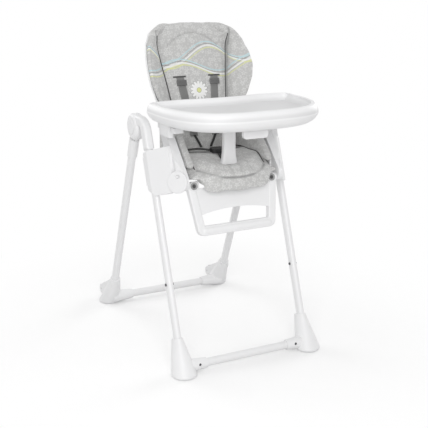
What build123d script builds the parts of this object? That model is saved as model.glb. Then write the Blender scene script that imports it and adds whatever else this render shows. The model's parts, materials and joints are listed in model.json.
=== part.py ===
from build123d import *
import os
from math import atan2, copysign, cos, degrees, hypot, pi, radians, sin, sqrt, tan

# A folding baby high chair in millimetres. +Z is up, the front faces -Y, right is +X as seen from
# the front. The origin is on the floor, under the middle of the chair's box.

# Side view of the frame
LEG_X = 233.0              # planes of the legs from the middle
LEG_FOOT_Y = -325.0        # front leg axis at the floor
LEG_TILT = 20.0            # front legs lean back by this many degrees
HUB_Y = 38.0               # fold axis
HUB_Z = 750.0
REAR_FOOT_Y = 352.0        # rear leg axis at the floor

# Clearances
SEAT_FIT = 0.15            # round what is pushed in and stays
RUN_FIT = 0.05             # radial, round pins that turn
SLIDE_FIT = 0.4            # beside what slides
SOFT_FIT = 0.6             # round cushions and straps

# Front legs: flat oval steel tube in two lengths
LEG_DEPTH = 32.0
LEG_WIDTH = 22.0
LEG_WALL = 1.5
LEG_SEAM = 268.0           # along the leg from the floor
LEG_LOW_END = 24.0
LEG_TOP_END = 772.0
SPIGOT_REACH = 40.0        # joining piece, each side of the seam
SPIGOT_WALL = 2.5
LEG_SCREW_RISE = 24.0      # screw above the seam

# Screws
SCREW_HEAD_R = 4.5
SCREW_HEAD = 3.0
SCREW_SHANK_R = 2.2
SCREW_REACH = 9.0
SCREW_SOCKET_R = 2.0
SCREW_SOCKET = 1.6

# Gooseneck knuckles at the tops of the front legs
KNUCKLE_LOW = 735.0        # along the leg
KNUCKLE_DEPTH = 38.0
KNUCKLE_WIDTH = 28.0
ARCH_R = 62.0
ARCH_RISE = 792.5          # centre of the arch along the leg
CROOK_R = 20.0
CROOK_TOP = 822.0
HUB_R = 45.0
HUB_WIDTH = 38.0
HUB_GAP_R = 47.0           # room for the rear disc between the cheeks
REAR_DISC_R = 43.0
REAR_DISC = 10.0
HUB_PIN_R = 6.0
KNUCKLE_ROUND = 8.0
HUB_ROUND = 12.0           # domed edges of the hub
HUB_STEP = 1.0             # hub stands out from the neck round it

# Fold buttons in the hubs' outer faces
BUTTON_R = 25.0
BUTTON_DEPTH = 7.0
BUTTON_PROUD = 1.5
BUTTON_TRAVEL = 3.0
BUTTON_ROUND = 1.5

# Rear legs: round steel tube in two lengths
REAR_R = 14.0
REAR_WALL = 1.5
REAR_SEAM_Z = 185.0
REAR_SOCKET_R = 17.5
REAR_SOCKET_FROM = 49.0    # along the rear leg from the hub
REAR_SOCKET_TO = 118.0
REAR_TUBE_FROM = 70.0
REAR_SWAGE = 30.0
REAR_NECK = 32.0

# Front feet and cross tube
FOOT_Y = -341.0
FOOT_R = 44.0
FOOT_TOP = 116.0           # along the leg
FOOT_BOTTOM_ROUND = 7.0
FOOT_LIP = 5.5             # wall of the foot round the tube at its top
FOOT_LIP_BACK = 4.5        # the lip stands this much further back
FRONT_BAR_R = 13.5
FRONT_BAR_Y = -328.0
FRONT_BAR_Z = 25.0
BAR_WALL = 1.5
SOCKET_END_X = 150.0       # inner end of the cross tube sockets
SOCKET_WALL = 3.5
SOCKET_FLARE = 8.0
BAR_INSERT = 46.0
SOCKET_SCREW_X = 180.0
SOCKET_SCREW_RISE = 5.0    # screw above the axis of the cross tube
PAD_R = 30.0
PAD_THICK = 3.0

# Rear feet, cross tube and wheels
HEEL_Y = 382.0
HEEL_R = 43.0
HEEL_TOP_Z = 118.0
REAR_BAR_R = 14.0
REAR_BAR_Y = 347.0
REAR_BAR_Z = 27.0
REAR_TUBE_END = 104.0      # tube stops short of the floor, along the leg
WHEEL_R = 22.0
WHEEL_WIDTH = 15.0
WHEEL_Z = 37.0
WHEEL_ROOM = 1.5
WHEEL_ROUND = 4.0
POD_R = 17.0
POD_WIDTH = 36.0
AXLE_R = 3.5

# Seat carriage on the front legs: housings, arms and their caps
HOUSING_OUT = 17.0         # outer face from the leg plane
HOUSING_IN = 15.0          # inner face from the leg plane
HOUSING_BACK = 20.5        # back face behind the leg axis
HOUSING_TOP = 731.0        # along the leg
HOUSING_LOW = 606.0
HOUSING_DROP = 24.0        # the front of the lower edge hangs this much lower
PANEL_FROM = 12.0          # outer panel turns inwards this far before the leg axis
PANEL_SLOPE = 0.72
HOUSING_FRONT = 79.0
HOUSING_ROUND = 4.0
COVER_THICK = 4.0
COVER_MARGIN = 6.0
COVER_SCREW_IN = 18.0      # screws from the cover's ends
ARM_IN_X = 163.0           # inner faces of the arms from the middle
ARM_THICK = 27.0
DISC_F = 96.0              # disc of the arm, ahead of the leg axis and along it
DISC_S = 611.0
DISC_R = 36.0
ARM_TOP_F = 28.0
ARM_TOP_S = 790.0
ARM_TOP_R = 20.0
ARM_ROUND = 3.0
CAP_THICK = 6.0
CAP_DIMPLE_R = 3.5
CAP_DIMPLE_RISE = 20.0
RAIL_X = 182.0
RAIL_WIDTH = 34.0
RAIL_THICK = 16.0
RAIL_TOP = 778.0
RAIL_FRONT_Y = -200.0
RAIL_BACK_Y = -68.0

# Height levers behind the housings
LEVER_WIDTH = 22.0
LEVER_THICK = 8.0
LEVER_LENGTH = 92.0
LEVER_MID = 668.0          # along the leg
LEVER_TRAVEL = 4.5
LEVER_CHEEK = 3.5
LEVER_CHEEK_DEPTH = 9.0

# Seat pan
PAN_TOP = 611.5
PAN_THICK = 7.0
PAN_FRONT_Y = -245.0
PAN_BACK_Y = 14.0
PAN_TONGUE_X = 117.0
PAN_TONGUE_FROM_Y = -184.0
FLANGE_THICK = 5.5
FLANGE_TOP = 700.0
EAR_X = 129.0              # inner faces of the hinge ears
EAR_THICK = 8.0

# Seat cushion
SEAT_TOP = 640.0
SEAT_FRONT_Y = -275.0
SEAT_CORNER_Y = -240.0
SEAT_BACK_Y = -28.0
SEAT_APRON_Z = 577.0
SEAT_ROUND = 9.0
SEAT_CROWN = 55.0          # the top rises over this much of the edge
SEAT_HEM_HALF = 125.0      # ends of the arched lower edge of the apron

# Side cushions
SIDE_THICK = 25.0
SIDE_LOW = 644.0
SIDE_TOP = 742.0
SIDE_SLOPE = 0.93          # rise of the front edges, as on the arms
SIDE_FRONT_Y = -225.0
SIDE_BACK_Y = -30.0

# Backrest
BACK_LEAN = 18.0
BACK_PIVOT_Y = 24.0
BACK_PIVOT_Z = 628.0
BACK_PIN_R = 5.0
BACK_LUG_R = 11.0
BACK_LUG_THICK = 14.0
BACK_FRONT = 46.0          # cushion front ahead of the pivot
BACK_THICK = 34.0
BACK_CROWN = 7.0
BACK_CREASE_LOW = 98.0     # folds of the wings from the middle, low on the back
BACK_CREASE_TOP = 140.0    # and at the top
BACK_CREASE_FROM = 153.0   # height where they start to spread
WING_THICK = 24.0
SHELL_THICK = 6.0
SHELL_EDGE = 9.0           # shell stops this far inside the cushion's edge
SHELL_GAP = 1.5            # between the cushion and the shell

# Height up the back, half width, forward reach of the wings and share of the full thickness
BACK_SECTIONS = ((12.0, 122.0, 3.0, 0.8), (60.0, 123.5, 7.0, 1.0), (110.0, 129.0, 17.0, 1.0),
                 (155.0, 150.0, 38.0, 1.0), (205.0, 176.0, 60.0, 1.0), (250.0, 192.0, 73.0, 1.0),
                 (295.0, 197.0, 77.0, 1.0), (340.0, 193.0, 69.0, 1.0), (385.0, 181.0, 56.0, 1.0),
                 (428.0, 152.0, 42.0, 0.9), (450.0, 120.0, 30.0, 0.7), (461.0, 96.0, 20.0, 0.4))

# Recline handle on the back of the shell
HANDLE_LOW = 318.0
HANDLE_HIGH = 352.0
HANDLE_HALF = 52.0
HANDLE_DEPTH = 21.0
GRIP_HALF = 42.0
GRIP_HEIGHT = 16.0
GRIP_DEPTH = 14.0
GRIP_TRAVEL = 5.5
STEM_HALF = 14.0
STEM_DEPTH = 9.0
STEM_REACH = 24.0

# Harness
STRAP_WIDTH = 28.0
STRAP_THICK = 2.4
STRAP_TOP_V = 268.0
STRAP_TOP_X = 64.0
STRAP_LOW_V = 44.0
STRAP_LOW_X = 38.0
ADJUSTER_WIDTH = 36.0
ADJUSTER_HEIGHT = 20.0
ADJUSTER_THICK = 5.0
ADJUSTER_V = 250.0
BUCKLE_Y = -105.0
BUCKLE_WIDTH = 48.0
BUCKLE_DEPTH = 40.0
BUCKLE_THICK = 14.0
LAP_END_X = 118.0
LAP_END_Y = -52.0

# Footrest
REST_PIVOT_Y = -210.0
REST_PIVOT_Z = 589.0
REST_LEAN = 15.0
REST_PIN_R = 5.0
REST_BOSS_R = 15.0
REST_BOSS_IN = 124.0
REST_LOW = 163.0           # lower edge below the pivot
REST_HALF_LOW = 140.0
REST_LIMB = 27.0
REST_THICK = 24.0
REST_CORNER = 24.0
REST_BAR_R = 16.0
REST_PANEL_TOP = 8.0       # below the pivot
REST_PANEL = 9.0
REST_PANEL_SUNK = 3.0      # behind the front of the limbs
REST_ARCH_MID = 82.0
REST_ARCH_END = 98.0
REST_ROUND = 5.0
REST_BUTTON_X = 142.0
REST_BUTTON_R = 12.0
REST_BUTTON_DEPTH = 6.0
REST_BUTTON_PROUD = 1.5
REST_BUTTON_TRAVEL = 4.0
REST_BUTTON_WALL = 3.0
REST_BUTTON_DISH = 2.5

# Tray: base, lift-off top, post and release lever
TRAY_HALF = 264.0
TRAY_FRONT_Y = -447.0
TRAY_WIDEST_Y = -150.0
TRAY_BACK_Y = -102.0
TRAY_FRONT_POWER = 3.1
TRAY_BACK_POWER = 3.4
TRAY_LOW = 794.0
TRAY_SEAM = 826.0
TRAY_TOP = 855.0
TRAY_TUCK = 34.0           # bottom of the base is drawn in this far
TRAY_WALL = 3.0
TRAY_RIM = 22.0
TRAY_LIP = 13.0            # outer edge of the rim's top, drawn in
TRAY_COVE = 27.5           # rim at the foot of its inner slope
TRAY_FLOOR_IN = 35.0       # floor's edge from the outline
TRAY_FLOOR = 832.0
TRAY_STEPS = 40            # points of the outline
TRAY_NOTCH_HALF = 135.0
TRAY_NOTCH = 14.0
CLIP_FRONT_Y = -175.0
CLIP_LENGTH = 70.0
CLIP_WALL = 6.0
CLIP_HOOK = 7.5
CLIP_LOW = 745.0
POST_Y = -189.0
POST_LOW = 646.0
POST_TOP_WIDTH = 36.0
POST_NECK_WIDTH = 44.0
POST_FLARE_WIDTH = 51.0
POST_LOW_WIDTH = 60.0
POST_DEPTH = 23.0
PULL_Y = -365.0
PULL_HALF = 43.0
PULL_THICK = 12.0
PULL_LOW = 761.0
PULL_TRAVEL = 8.0
PULL_STEM = 12.0

# Values worked out from the above
REAR_TILT = degrees(atan2(REAR_FOOT_Y - HUB_Y, HUB_Z))
REAR_LENGTH = hypot(REAR_FOOT_Y - HUB_Y, HUB_Z)
LEG_SIN = sin(radians(LEG_TILT))
LEG_COS = cos(radians(LEG_TILT))
HUB_BACK = (HUB_Y - LEG_FOOT_Y) * LEG_COS - HUB_Z * LEG_SIN
HUB_ALONG = (HUB_Y - LEG_FOOT_Y) * LEG_SIN + HUB_Z * LEG_COS
WHEEL_Y = HEEL_Y + HEEL_R
ARM_OUT = ARM_IN_X + ARM_THICK
BOSS_OUT = ARM_IN_X - SLIDE_FIT

# Frames of the leaning parts: local z runs along the piece, local x is across the chair
LEG = Plane((LEG_X, LEG_FOOT_Y, 0), x_dir=(1, 0, 0), z_dir=(0, LEG_SIN, LEG_COS))
REAR = Plane((LEG_X, HUB_Y, HUB_Z), x_dir=(1, 0, 0),
             z_dir=(0, sin(radians(REAR_TILT)), -cos(radians(REAR_TILT))))
BACK = Plane((0, BACK_PIVOT_Y, BACK_PIVOT_Z), x_dir=(1, 0, 0),
             z_dir=(0, sin(radians(BACK_LEAN)), cos(radians(BACK_LEAN))))
REST = Plane((0, REST_PIVOT_Y, REST_PIVOT_Z), x_dir=(1, 0, 0),
             z_dir=(0, sin(radians(REST_LEAN)), cos(radians(REST_LEAN))))

parts = {}


def keep(name, *solids):
    """Add one node made of one or more separate solids."""
    parts[name] = solids


def keep_pair(name, solid):
    """Add a right-hand piece and its mirror image on the left."""
    keep(name + "_right", solid)
    keep(name + "_left", solid.mirror(Plane.YZ))


def keep_both(name, solid):
    """Add small equal pieces of both sides as one node."""
    keep(name, solid, solid.mirror(Plane.YZ))


def span(x0, x1, y0, y1, z0, z1):
    """A box between two corners."""
    box = Box(abs(x1 - x0), abs(y1 - y0), abs(z1 - z0))
    return Pos((x0 + x1) / 2, (y0 + y1) / 2, (z0 + z1) / 2) * box


def rod_x(radius, x0, x1, y=0.0, z=0.0):
    """A round bar along X."""
    return Pos((x0 + x1) / 2, y, z) * Rot(0, 90, 0) * Cylinder(radius, abs(x1 - x0))


def rod_y(radius, y0, y1, x=0.0, z=0.0):
    """A round bar along Y."""
    return Pos(x, (y0 + y1) / 2, z) * Rot(90, 0, 0) * Cylinder(radius, abs(y1 - y0))


def rod_z(radius, z0, z1, x=0.0, y=0.0):
    """A round bar along Z."""
    return Pos(x, y, (z0 + z1) / 2) * Cylinder(radius, abs(z1 - z0))


def side_plate(profile, x0, x1):
    """A profile drawn in Y and Z, given thickness along X."""
    return extrude(Plane.YZ.offset(x0) * profile, amount=x1 - x0, dir=(1, 0, 0))


def plan_plate(profile, z0, z1):
    """A profile drawn in X and Y, given thickness along Z."""
    return extrude(Pos(0, 0, z0) * profile, amount=z1 - z0, dir=(0, 0, 1))


def front_plate(profile, y0, y1):
    """A profile drawn in X and Z, given thickness along Y."""
    return extrude(Plane.XZ.offset(-y0) * profile, amount=y1 - y0, dir=(0, 1, 0))


def tangent_bar(y0, z0, r0, y1, z1, r1):
    """Profile round two circles and between their outer tangents."""
    return make_hull([*(Pos(y0, z0) * Circle(r0)).edges(), *(Pos(y1, z1) * Circle(r1)).edges()])


def leg_section(grow=0.0):
    """Flat oval of the front leg tube, deep front to back."""
    return SlotOverall(LEG_DEPTH + 2 * grow, LEG_WIDTH + 2 * grow, rotation=90)


def leg_bar(s0, s1, grow=0.0):
    """A solid oval bar along the leg, in the leg's frame."""
    return plan_plate(leg_section(grow), s0, s1)


def screw(x_out):
    """A screw along X with its head's top at x_out, pointing to -X."""
    head = rod_x(SCREW_HEAD_R, x_out - SCREW_HEAD, x_out)
    shank = rod_x(SCREW_SHANK_R, x_out - SCREW_REACH, x_out - SCREW_HEAD)
    return head + shank - rod_x(SCREW_SOCKET_R, x_out - SCREW_SOCKET, x_out + 1)


def make_front_legs():
    hollow = leg_bar(LEG_LOW_END, LEG_TOP_END, -LEG_WALL)
    screw_s = LEG_SEAM + LEG_SCREW_RISE
    screw_bore = rod_x(SCREW_SHANK_R + SEAT_FIT, -LEG_WIDTH, LEG_WIDTH, z=screw_s)
    lower = leg_bar(LEG_LOW_END, LEG_SEAM) - hollow
    upper = leg_bar(LEG_SEAM, LEG_TOP_END) - hollow - screw_bore
    spigot_ends = LEG_SEAM - SPIGOT_REACH, LEG_SEAM + SPIGOT_REACH
    spigot = leg_bar(*spigot_ends, -LEG_WALL - SEAT_FIT)
    spigot -= leg_bar(*spigot_ends, -LEG_WALL - SEAT_FIT - SPIGOT_WALL)
    spigot -= screw_bore
    outer_screw = Pos(0, 0, screw_s) * screw(LEG_WIDTH / 2 + SCREW_HEAD)
    inner_screw = outer_screw.mirror(Plane.YZ)
    keep_pair("front_leg_upper", LEG.location * upper)
    keep_pair("front_leg_lower", LEG.location * lower)
    keep_pair("leg_spigot", LEG.location * spigot)
    screws = [LEG.location * outer_screw, LEG.location * inner_screw]
    keep("leg_screws", *screws, *[one.mirror(Plane.YZ) for one in screws])


def knuckle_profile():
    """Gooseneck seen from the side: leg socket, arch and hub, in the leg's frame."""
    half = KNUCKLE_DEPTH / 2
    end = HUB_R - HUB_STEP
    hub = Pos(HUB_BACK, HUB_ALONG) * Circle(end)
    arch = tangent_bar(ARCH_R - half, ARCH_RISE, ARCH_R, HUB_BACK, HUB_ALONG, end)
    limb_height = ARCH_RISE - KNUCKLE_LOW
    limb = Pos(0, KNUCKLE_LOW + limb_height / 2) * Rectangle(KNUCKLE_DEPTH, limb_height)
    below = CROOK_TOP - KNUCKLE_LOW + ARCH_R
    wide = HUB_BACK + HUB_R
    crook = Pos(half + wide / 2, CROOK_TOP - below / 2) * Rectangle(wide, below)
    corner = crook.vertices().group_by(Axis.Y)[-1].sort_by(Axis.X)[0]
    return arch + limb - fillet(corner, CROOK_R) + hub


def make_knuckles():
    body = side_plate(knuckle_profile(), -KNUCKLE_WIDTH / 2, KNUCKLE_WIDTH / 2)
    body = fillet(body.faces().sort_by(Axis.X)[0].edges(), KNUCKLE_ROUND)
    body = fillet(body.faces().sort_by(Axis.X)[-1].edges(), KNUCKLE_ROUND)
    half = HUB_WIDTH / 2
    drum = rod_x(HUB_R, -half, half)
    drum = fillet(drum.edges().filter_by(GeomType.CIRCLE), HUB_ROUND)
    room = BUTTON_DEPTH - BUTTON_PROUD + BUTTON_TRAVEL + SLIDE_FIT
    gap = REAR_DISC / 2 + SLIDE_FIT
    hub_cut = rod_x(HUB_GAP_R, -gap, gap)
    hub_cut += rod_x(BUTTON_R + SLIDE_FIT, half - room, half + room)
    hub_cut += rod_x(HUB_PIN_R + SEAT_FIT, -HUB_WIDTH, HUB_WIDTH)
    hub_at = Pos(0, HUB_BACK, HUB_ALONG)
    body = body + hub_at * drum - hub_at * hub_cut
    body -= leg_bar(KNUCKLE_LOW - LEG_DEPTH, LEG_TOP_END + SEAT_FIT, SEAT_FIT)
    keep_pair("knuckle", LEG.location * body)
    pin = rod_x(HUB_PIN_R, -half, half - room)
    keep_both("hub_pins", LEG.location * hub_at * pin)
    button = rod_x(BUTTON_R, half + BUTTON_PROUD - BUTTON_DEPTH, half + BUTTON_PROUD)
    button = fillet(button.edges().filter_by(GeomType.CIRCLE).sort_by(Axis.X)[-1], BUTTON_ROUND)
    keep_pair("fold_button", LEG.location * hub_at * button)


def make_rear_legs():
    seam = (HUB_Z - REAR_SEAM_Z) / cos(radians(REAR_TILT))
    end = REAR_LENGTH - REAR_TUBE_END
    inner = REAR_R - REAR_WALL
    swage = inner - SEAT_FIT
    upper = rod_z(REAR_R, REAR_TUBE_FROM, seam) - rod_z(inner, REAR_TUBE_FROM, seam)
    lower = rod_z(REAR_R, seam, end) + rod_z(swage, seam - REAR_SWAGE, seam)
    lower -= rod_z(swage - REAR_WALL, seam - REAR_SWAGE, end)
    half = REAR_DISC / 2
    hub = rod_x(REAR_DISC_R, -half, half)
    hub += span(-half, half, -REAR_NECK / 2, REAR_NECK / 2, 0, REAR_TUBE_FROM)
    hub += rod_z(REAR_SOCKET_R, REAR_SOCKET_FROM, REAR_SOCKET_TO)
    hub -= rod_z(REAR_R + SEAT_FIT, REAR_TUBE_FROM - SEAT_FIT, REAR_SOCKET_TO)
    hub -= rod_x(HUB_PIN_R + RUN_FIT, -REAR_DISC, REAR_DISC)
    keep_pair("rear_leg_upper", REAR.location * upper)
    keep_pair("rear_leg_lower", REAR.location * lower)
    keep_pair("rear_hub", REAR.location * hub)


def bar_socket(bar_radius, bar_y, bar_z):
    """Tapered socket from a foot towards the middle, for the end of a cross tube."""
    small = bar_radius + SOCKET_WALL
    length = LEG_X - SOCKET_END_X
    cone = Rot(0, 90, 0) * Cone(small, small + SOCKET_FLARE, length)
    return Pos(SOCKET_END_X + length / 2, bar_y, bar_z) * cone


def bar_bore(bar_radius, bar_y, bar_z):
    """Hole for the end of a cross tube."""
    end = SOCKET_END_X + BAR_INSERT + SEAT_FIT
    return rod_x(bar_radius + SEAT_FIT, SOCKET_END_X - BAR_INSERT, end, bar_y, bar_z)


def cross_tube(bar_radius, bar_y, bar_z):
    end = SOCKET_END_X + BAR_INSERT
    tube = rod_x(bar_radius, -end, end, bar_y, bar_z)
    return tube - rod_x(bar_radius - BAR_WALL, -end, end, bar_y, bar_z)


def boot(y_floor, radius, top):
    """Foot that stands on a round sole and closes round a leg."""
    sole = Pos(LEG_X, y_floor) * Circle(radius)
    body = loft([sole, top], ruled=True)
    return fillet(body.edges().group_by(Axis.Z)[0], FOOT_BOTTOM_ROUND)


def make_front_feet():
    lip = Ellipse(LEG_WIDTH / 2 + FOOT_LIP, LEG_DEPTH / 2 + FOOT_LIP + FOOT_LIP_BACK)
    foot = boot(FOOT_Y, FOOT_R, LEG.location * Pos(0, FOOT_LIP_BACK, FOOT_TOP) * lip)
    foot += bar_socket(FRONT_BAR_R, FRONT_BAR_Y, FRONT_BAR_Z)
    foot -= bar_bore(FRONT_BAR_R, FRONT_BAR_Y, FRONT_BAR_Z)
    foot -= LEG.location * leg_bar(LEG_LOW_END - SEAT_FIT, FOOT_TOP + LEG_DEPTH, SEAT_FIT)
    pad = rod_z(PAD_R, 0, PAD_THICK, LEG_X, FOOT_Y)
    foot -= rod_z(PAD_R + SEAT_FIT, -PAD_THICK, PAD_THICK, LEG_X, FOOT_Y)
    share = (SOCKET_SCREW_X - SOCKET_END_X) / (LEG_X - SOCKET_END_X)
    reach = FRONT_BAR_R + SOCKET_WALL + SOCKET_FLARE * share
    head_y = FRONT_BAR_Y - reach + SOCKET_FLARE * share
    screw_at = Pos(SOCKET_SCREW_X, 0, FRONT_BAR_Z + SOCKET_SCREW_RISE) * Rot(0, 0, -90)
    foot -= screw_at * rod_x(SCREW_HEAD_R + SEAT_FIT, -head_y - SCREW_HEAD, -head_y + SOCKET_FLARE)
    shank_hole = screw_at * rod_x(SCREW_SHANK_R + SEAT_FIT, -head_y - SCREW_REACH - SEAT_FIT, -head_y)
    keep_pair("front_foot", foot - shank_hole)
    tube = cross_tube(FRONT_BAR_R, FRONT_BAR_Y, FRONT_BAR_Z)
    keep("front_cross_tube", tube - shank_hole - shank_hole.mirror(Plane.YZ))
    keep_both("front_foot_screws", screw_at * screw(-head_y))
    keep_both("front_foot_pads", pad)


def make_rear_feet():
    top_at = (HUB_Z - HEEL_TOP_Z) / cos(radians(REAR_TILT))
    foot = boot(HEEL_Y, HEEL_R, REAR.location * Pos(0, 0, top_at) * Circle(REAR_R + FOOT_LIP))
    foot += bar_socket(REAR_BAR_R, REAR_BAR_Y, REAR_BAR_Z)
    web_z = HEEL_TOP_Z - REAR_R - FOOT_LIP
    web_y = REAR_FOOT_Y - web_z * tan(radians(REAR_TILT))
    web = tangent_bar(web_y, web_z, REAR_R, WHEEL_Y, WHEEL_Z, POD_R)
    web += tangent_bar(HEEL_Y, WHEEL_Z, WHEEL_R, WHEEL_Y, WHEEL_Z, POD_R)
    foot += side_plate(web, LEG_X - POD_WIDTH / 2, LEG_X + POD_WIDTH / 2)
    foot -= bar_bore(REAR_BAR_R, REAR_BAR_Y, REAR_BAR_Z)
    foot -= REAR.location * rod_z(REAR_R + SEAT_FIT, top_at - REAR_R, REAR_LENGTH - REAR_TUBE_END + SEAT_FIT)
    pad = rod_z(PAD_R, 0, PAD_THICK, LEG_X, HEEL_Y)
    foot -= rod_z(PAD_R + SEAT_FIT, -PAD_THICK, PAD_THICK, LEG_X, HEEL_Y)
    half = WHEEL_WIDTH / 2
    room = half + SLIDE_FIT
    foot -= rod_x(WHEEL_R + WHEEL_ROOM, LEG_X - room, LEG_X + room, WHEEL_Y, WHEEL_Z)
    axle_ends = LEG_X - POD_WIDTH / 2, LEG_X + POD_WIDTH / 2
    foot -= rod_x(AXLE_R + SEAT_FIT, *axle_ends, WHEEL_Y, WHEEL_Z)
    wheel = rod_x(WHEEL_R, LEG_X - half, LEG_X + half, WHEEL_Y, WHEEL_Z)
    wheel = fillet(wheel.edges().filter_by(GeomType.CIRCLE), WHEEL_ROUND)
    wheel -= rod_x(AXLE_R + RUN_FIT, *axle_ends, WHEEL_Y, WHEEL_Z)
    keep_pair("rear_foot", foot)
    keep("rear_cross_tube", cross_tube(REAR_BAR_R, REAR_BAR_Y, REAR_BAR_Z))
    keep_both("rear_foot_pads", pad)
    keep_pair("rear_wheel", wheel)
    keep_both("wheel_axles", rod_x(AXLE_R, *axle_ends, WHEEL_Y, WHEEL_Z))


def panel_x(ahead):
    """Outer panel of the housing, from the leg plane, at a distance ahead of the leg axis."""
    return HOUSING_OUT - PANEL_SLOPE * (ahead - PANEL_FROM)


def make_housings():
    arm_gap = ARM_OUT + SEAT_FIT - LEG_X
    low = HOUSING_LOW - HOUSING_DROP
    plan = Polygon((HOUSING_OUT, HOUSING_BACK), (HOUSING_OUT, -PANEL_FROM),
                   (panel_x(HOUSING_FRONT), -HOUSING_FRONT), (arm_gap, -HOUSING_FRONT),
                   (arm_gap, -LEG_DEPTH), (-HOUSING_IN, -HOUSING_BACK), (-HOUSING_IN, HOUSING_BACK),
                   align=None)
    side = Polygon((HOUSING_BACK, HOUSING_LOW), (HOUSING_BACK, HOUSING_TOP), (-HOUSING_FRONT, HOUSING_TOP),
                   (-HOUSING_FRONT, low), (-HOUSING_BACK, low), align=None)
    side = fillet(side.vertices().group_by(Axis.Y)[0], HOUSING_DROP / 2)
    body = plan_plate(plan, low, HOUSING_TOP)
    body &= side_plate(side, -LEG_X, LEG_X)
    outer = body.faces().sort_by(Axis.X)[-1]
    body = fillet(outer.edges(), HOUSING_ROUND)
    wall = HOUSING_OUT - LEG_WIDTH / 2 - SLIDE_FIT - SEAT_FIT
    inner_front = HOUSING_FRONT - wall
    inner_back = LEG_DEPTH / 2 + PANEL_FROM
    pocket = Polygon((arm_gap - wall, -inner_front), (panel_x(inner_front) - wall, -inner_front),
                     (panel_x(inner_back) - wall, -inner_back), (arm_gap - wall, -inner_back - wall),
                     align=None)
    body -= plan_plate(pocket, HOUSING_LOW, HOUSING_TOP - wall)
    body -= leg_bar(low - LEG_DEPTH, HOUSING_TOP + LEG_DEPTH, SLIDE_FIT)
    cheek_in = LEVER_WIDTH / 2 + SLIDE_FIT
    lever_ends = LEVER_MID - LEVER_LENGTH / 2, LEVER_MID + LEVER_LENGTH / 2
    cheek_back = HOUSING_BACK + LEVER_CHEEK_DEPTH
    for one in (-1, 1):
        body += span(one * cheek_in, one * (cheek_in + LEVER_CHEEK), 0, cheek_back, *lever_ends) \
            - leg_bar(low, HOUSING_TOP, SLIDE_FIT)
    cover_low = HOUSING_LOW + COVER_MARGIN
    cover_top = HOUSING_TOP - COVER_MARGIN
    cover_face = -HOUSING_IN - COVER_THICK
    cover = span(cover_face, -HOUSING_IN, COVER_MARGIN - HOUSING_BACK, HOUSING_BACK, cover_low, cover_top)
    cover = fillet(cover.edges().filter_by(Axis.X), COVER_MARGIN)
    screws = []
    for screw_s in (cover_low + COVER_SCREW_IN, cover_top - COVER_SCREW_IN):
        one = Pos(0, 0, screw_s) * Rot(0, 0, 180) * screw(-cover_face + SCREW_HEAD)
        hole = rod_x(SCREW_SHANK_R + SEAT_FIT, -LEG_X, cover_face + SCREW_REACH - SCREW_HEAD, z=screw_s)
        cover -= hole
        body -= hole
        screws.append(LEG.location * one)
    keep_pair("housing", LEG.location * body)
    keep_pair("housing_cover", LEG.location * cover)
    keep("housing_screws", *screws, *[one.mirror(Plane.YZ) for one in screws])
    lever_front = HOUSING_BACK + LEVER_TRAVEL + SLIDE_FIT
    lever = span(-LEVER_WIDTH / 2, LEVER_WIDTH / 2, lever_front, lever_front + LEVER_THICK, *lever_ends)
    lever = fillet(lever.edges().group_by(Axis.Y)[-1], LEVER_THICK / 3)
    keep_pair("height_lever", LEG.location * lever)


def make_arms():
    arm_low_r = DISC_R - CAP_THICK
    profile = tangent_bar(-DISC_F, DISC_S, arm_low_r, -ARM_TOP_F, ARM_TOP_S, ARM_TOP_R)
    inner = ARM_IN_X - LEG_X
    outer = ARM_OUT - LEG_X
    turn = PANEL_FROM + (HOUSING_OUT - outer) / PANEL_SLOPE
    tip = PANEL_FROM + (HOUSING_OUT - inner) / PANEL_SLOPE
    plan = Polygon((inner, ARM_TOP_R), (inner, -tip), (outer, -turn), (outer, ARM_TOP_R), align=None)
    low = DISC_S - 2 * DISC_R
    arm = side_plate(profile, inner, outer)
    arm &= plan_plate(plan, low, ARM_TOP_S + 2 * ARM_TOP_R)
    rail = span(RAIL_X - RAIL_WIDTH / 2, RAIL_X + RAIL_WIDTH / 2, RAIL_FRONT_Y, RAIL_BACK_Y,
                RAIL_TOP - RAIL_THICK, RAIL_TOP)
    rail = fillet(rail.edges().filter_by(Axis.Z), ARM_ROUND)
    arm = LEG.location * arm + rail
    pin_ends = REST_BOSS_IN + REST_BOSS_R, ARM_IN_X + ARM_THICK / 2
    arm -= rod_x(REST_PIN_R + SEAT_FIT, *pin_ends, REST_PIVOT_Y, REST_PIVOT_Z)
    keep_pair("arm", arm)
    keep_both("footrest_pins", rod_x(REST_PIN_R, *pin_ends, REST_PIVOT_Y, REST_PIVOT_Z))
    slant = hypot(1, PANEL_SLOPE)
    cap_plane = Plane((panel_x(DISC_F), -DISC_F, DISC_S), x_dir=(0, 0, 1),
                      z_dir=(1 / slant, -PANEL_SLOPE / slant, 0))
    cap = rod_z(DISC_R, SEAT_FIT, CAP_THICK)
    cap = fillet(cap.edges().filter_by(GeomType.CIRCLE).sort_by(Axis.Z)[-1], CAP_THICK / 3)
    cap -= rod_z(CAP_DIMPLE_R, CAP_THICK / 2, CAP_THICK, CAP_DIMPLE_RISE)
    keep_both("arm_caps", LEG.location * cap_plane.location * cap)


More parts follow.
